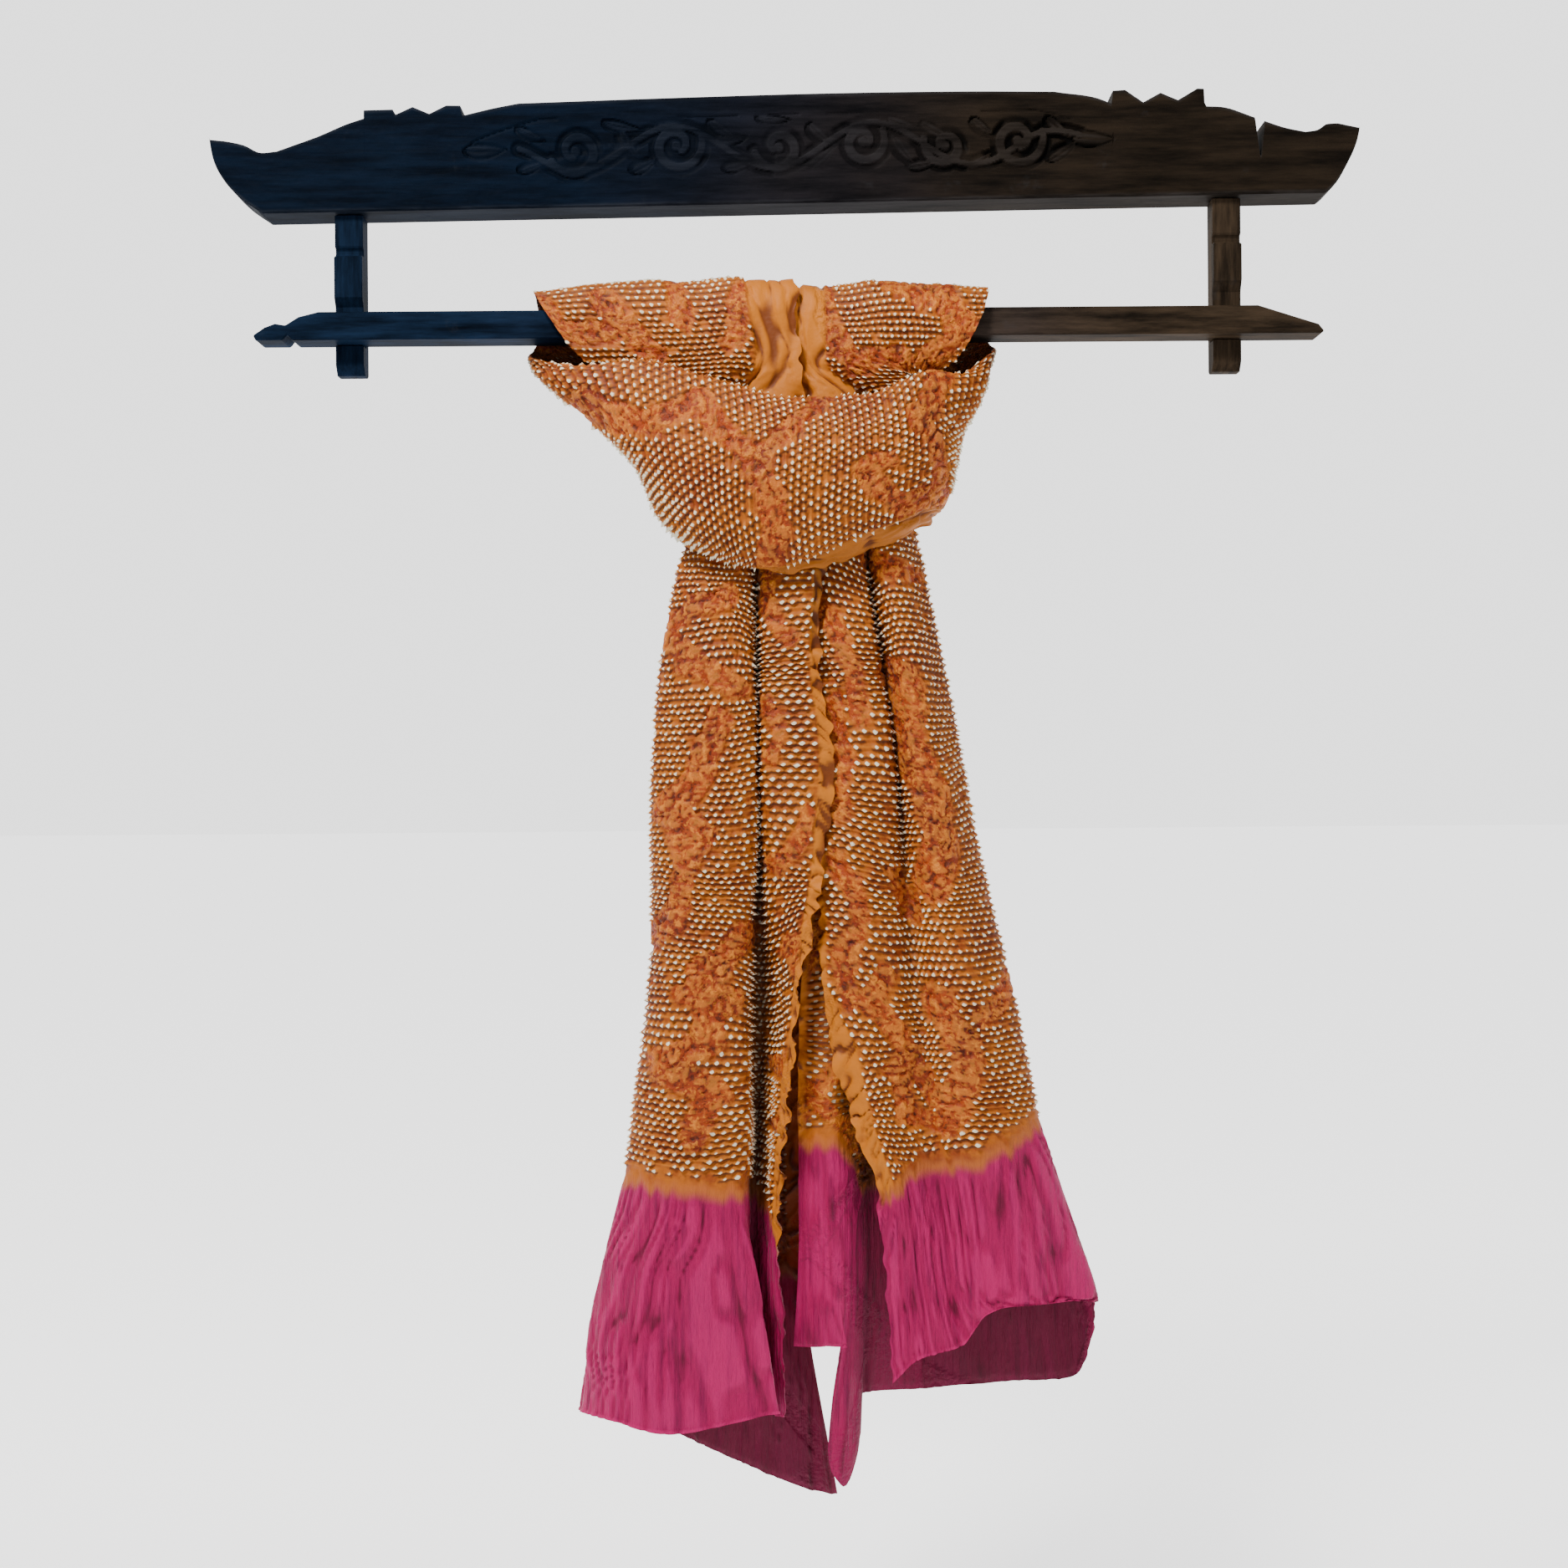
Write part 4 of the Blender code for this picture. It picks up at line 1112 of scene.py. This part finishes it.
def stained_wood(name, lift, run, marked):
    wood = Paint(name)
    grain = wood.grain(14.0, stretch=run, detail=5.0, rough=0.65)
    clouds = wood.grain(9.0)
    # The blue-to-brown shift along X: partly the stain and partly painted light, cool at the left and warm at
    # the right.
    warm = (wood.along("X") + (clouds - 0.5) * 0.25).between(-0.22, 0.28)
    dark = warm.blend(NIGHT, UMBER)
    light = warm.blend(NAVY, BROWN)
    colour = (grain.between(0.22, 0.78) * lift).blend(dark, light)
    scuffs = wood.grain(34.0, detail=4.0, rough=0.7).between(0.60, 0.78)
    colour = (scuffs * 0.16).blend(colour, SCUFF)
    if marked:
        # Painted shade: the cut-back ground of the pockets is painted near black.
        colour = (wood.mark("sunk") * 0.85).blend(colour, POCKET_SHADE)
        colour = (wood.mark("wear") * grain.between(0.30, 0.75) * 0.42).blend(colour, SCUFF)
    wood.set("Base Color", colour)
    wood.set("Roughness", 0.5 + 0.25 * scuffs)
    wood.set("Specular IOR Level", 0.01)
    wood.bump(grain, 0.0008, 0.35)
    return wood.material


ALONG_X, ALONG_Z = (1, 6, 9), (9, 6, 1)
board.data.materials.append(stained_wood("carved_wood", 0.36, ALONG_X, True))
for name, run in (("post_left", ALONG_Z), ("post_right", ALONG_Z), ("crossbar", ALONG_X)):
    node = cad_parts[name]
    node.data.materials.clear()
    node.data.materials.append(stained_wood(name + "_wood", 1.0, run, False))
    print(name, "is stained, with its grain along", "X" if run == ALONG_X else "Z")

# %% [markdown]
# ## Studio
# The floor and the light aren't part of the object. A pale floor well below the hems and a pale world stand
# in for the white round the object. Both are bright only behind it, so that its valleys stay dark. A lamp
# at the upper left gives the tied points their shadows, and a weak wide one at the right softens them. The
# camera stands square to the board at the height of the scarf's middle, turned by less than half a degree.

# %% Floor, light and camera
FLOOR = -1.30
CAMERA = (0.0, -1.43, -0.489)
VIEW_ANGLE = math.radians(47.3)
CAMERA_ROLL = math.radians(-0.42)

ROOM_FRONT, ROOM_BACK = (0.26, 0.26, 0.27, 1), (2.2, 2.2, 2.2, 1)
FLOOR_SIZE = 60
FLOOR_FRONT, FLOOR_BACK = (0.05, 0.05, 0.05, 1), (1, 1, 1, 1)
AIM = (0, -0.05, -0.5)
FILM = 36

bpy.ops.mesh.primitive_plane_add(size=FLOOR_SIZE, location=(0, 0, FLOOR))
floor = bpy.context.object
floor.name = "floor"
pale = Paint("floor_paper")
pale.set("Base Color", (pale.grain(2.0) * 0.1).blend(paint(246, 246, 246), paint(240, 240, 242)))
pale.set("Roughness", 0.9)
glow = pale.along("Y").between(-0.8, 0.8).blend(FLOOR_FRONT, FLOOR_BACK)
pale.set("Emission Color", glow)
pale.set("Emission Strength", 1.6)
floor.data.materials.append(pale.material)

world = bpy.data.worlds.new("pale_room")
bpy.context.scene.world = world
world.use_nodes = True
sky = Wire(world.node_tree)
facing = sky.node("ShaderNodeTexCoord", output="Generated")
behind = sky.node("ShaderNodeSeparateXYZ", output="Y", Vector=facing).between(-0.1, 0.8)
background = world.node_tree.nodes["Background"]
sky.feed(background.inputs["Color"], behind.blend(ROOM_FRONT, ROOM_BACK))
background.inputs["Strength"].default_value = 1.0


def lamp(name, place, size, power, colour):
    """A square lamp that points from its place at the scarf."""
    data = bpy.data.lights.new(name, "AREA")
    data.size, data.energy, data.color = size, power, colour
    away = np.array(place) - AIM
    turn = Matrix.Rotation(math.atan2(away[0], -away[1]), 4, "Z")
    tip_up = Matrix.Rotation(math.atan2(np.hypot(away[0], away[1]), away[2]), 4, "X")
    put(name, data).matrix_world = Matrix.Translation(place) @ turn @ tip_up


lamp("key", (-0.9, -1.5, 1.5), 0.5, 90, (1.0, 0.97, 0.93))
lamp("side", (1.9, -1.5, 0.2), 1.2, 12, (1.0, 0.95, 0.90))

data = bpy.data.cameras.new("photo_camera")
data.sensor_width = FILM
data.lens = FILM / (2 * math.tan(VIEW_ANGLE / 2))
camera = put("photo_camera", data)
upright = Matrix.Rotation(math.pi / 2, 4, "X") @ Matrix.Rotation(CAMERA_ROLL, 4, "Z")
camera.matrix_world = Matrix.Translation(CAMERA) @ upright
bpy.context.scene.camera = camera
print("lens", round(data.lens, 1), "mm")
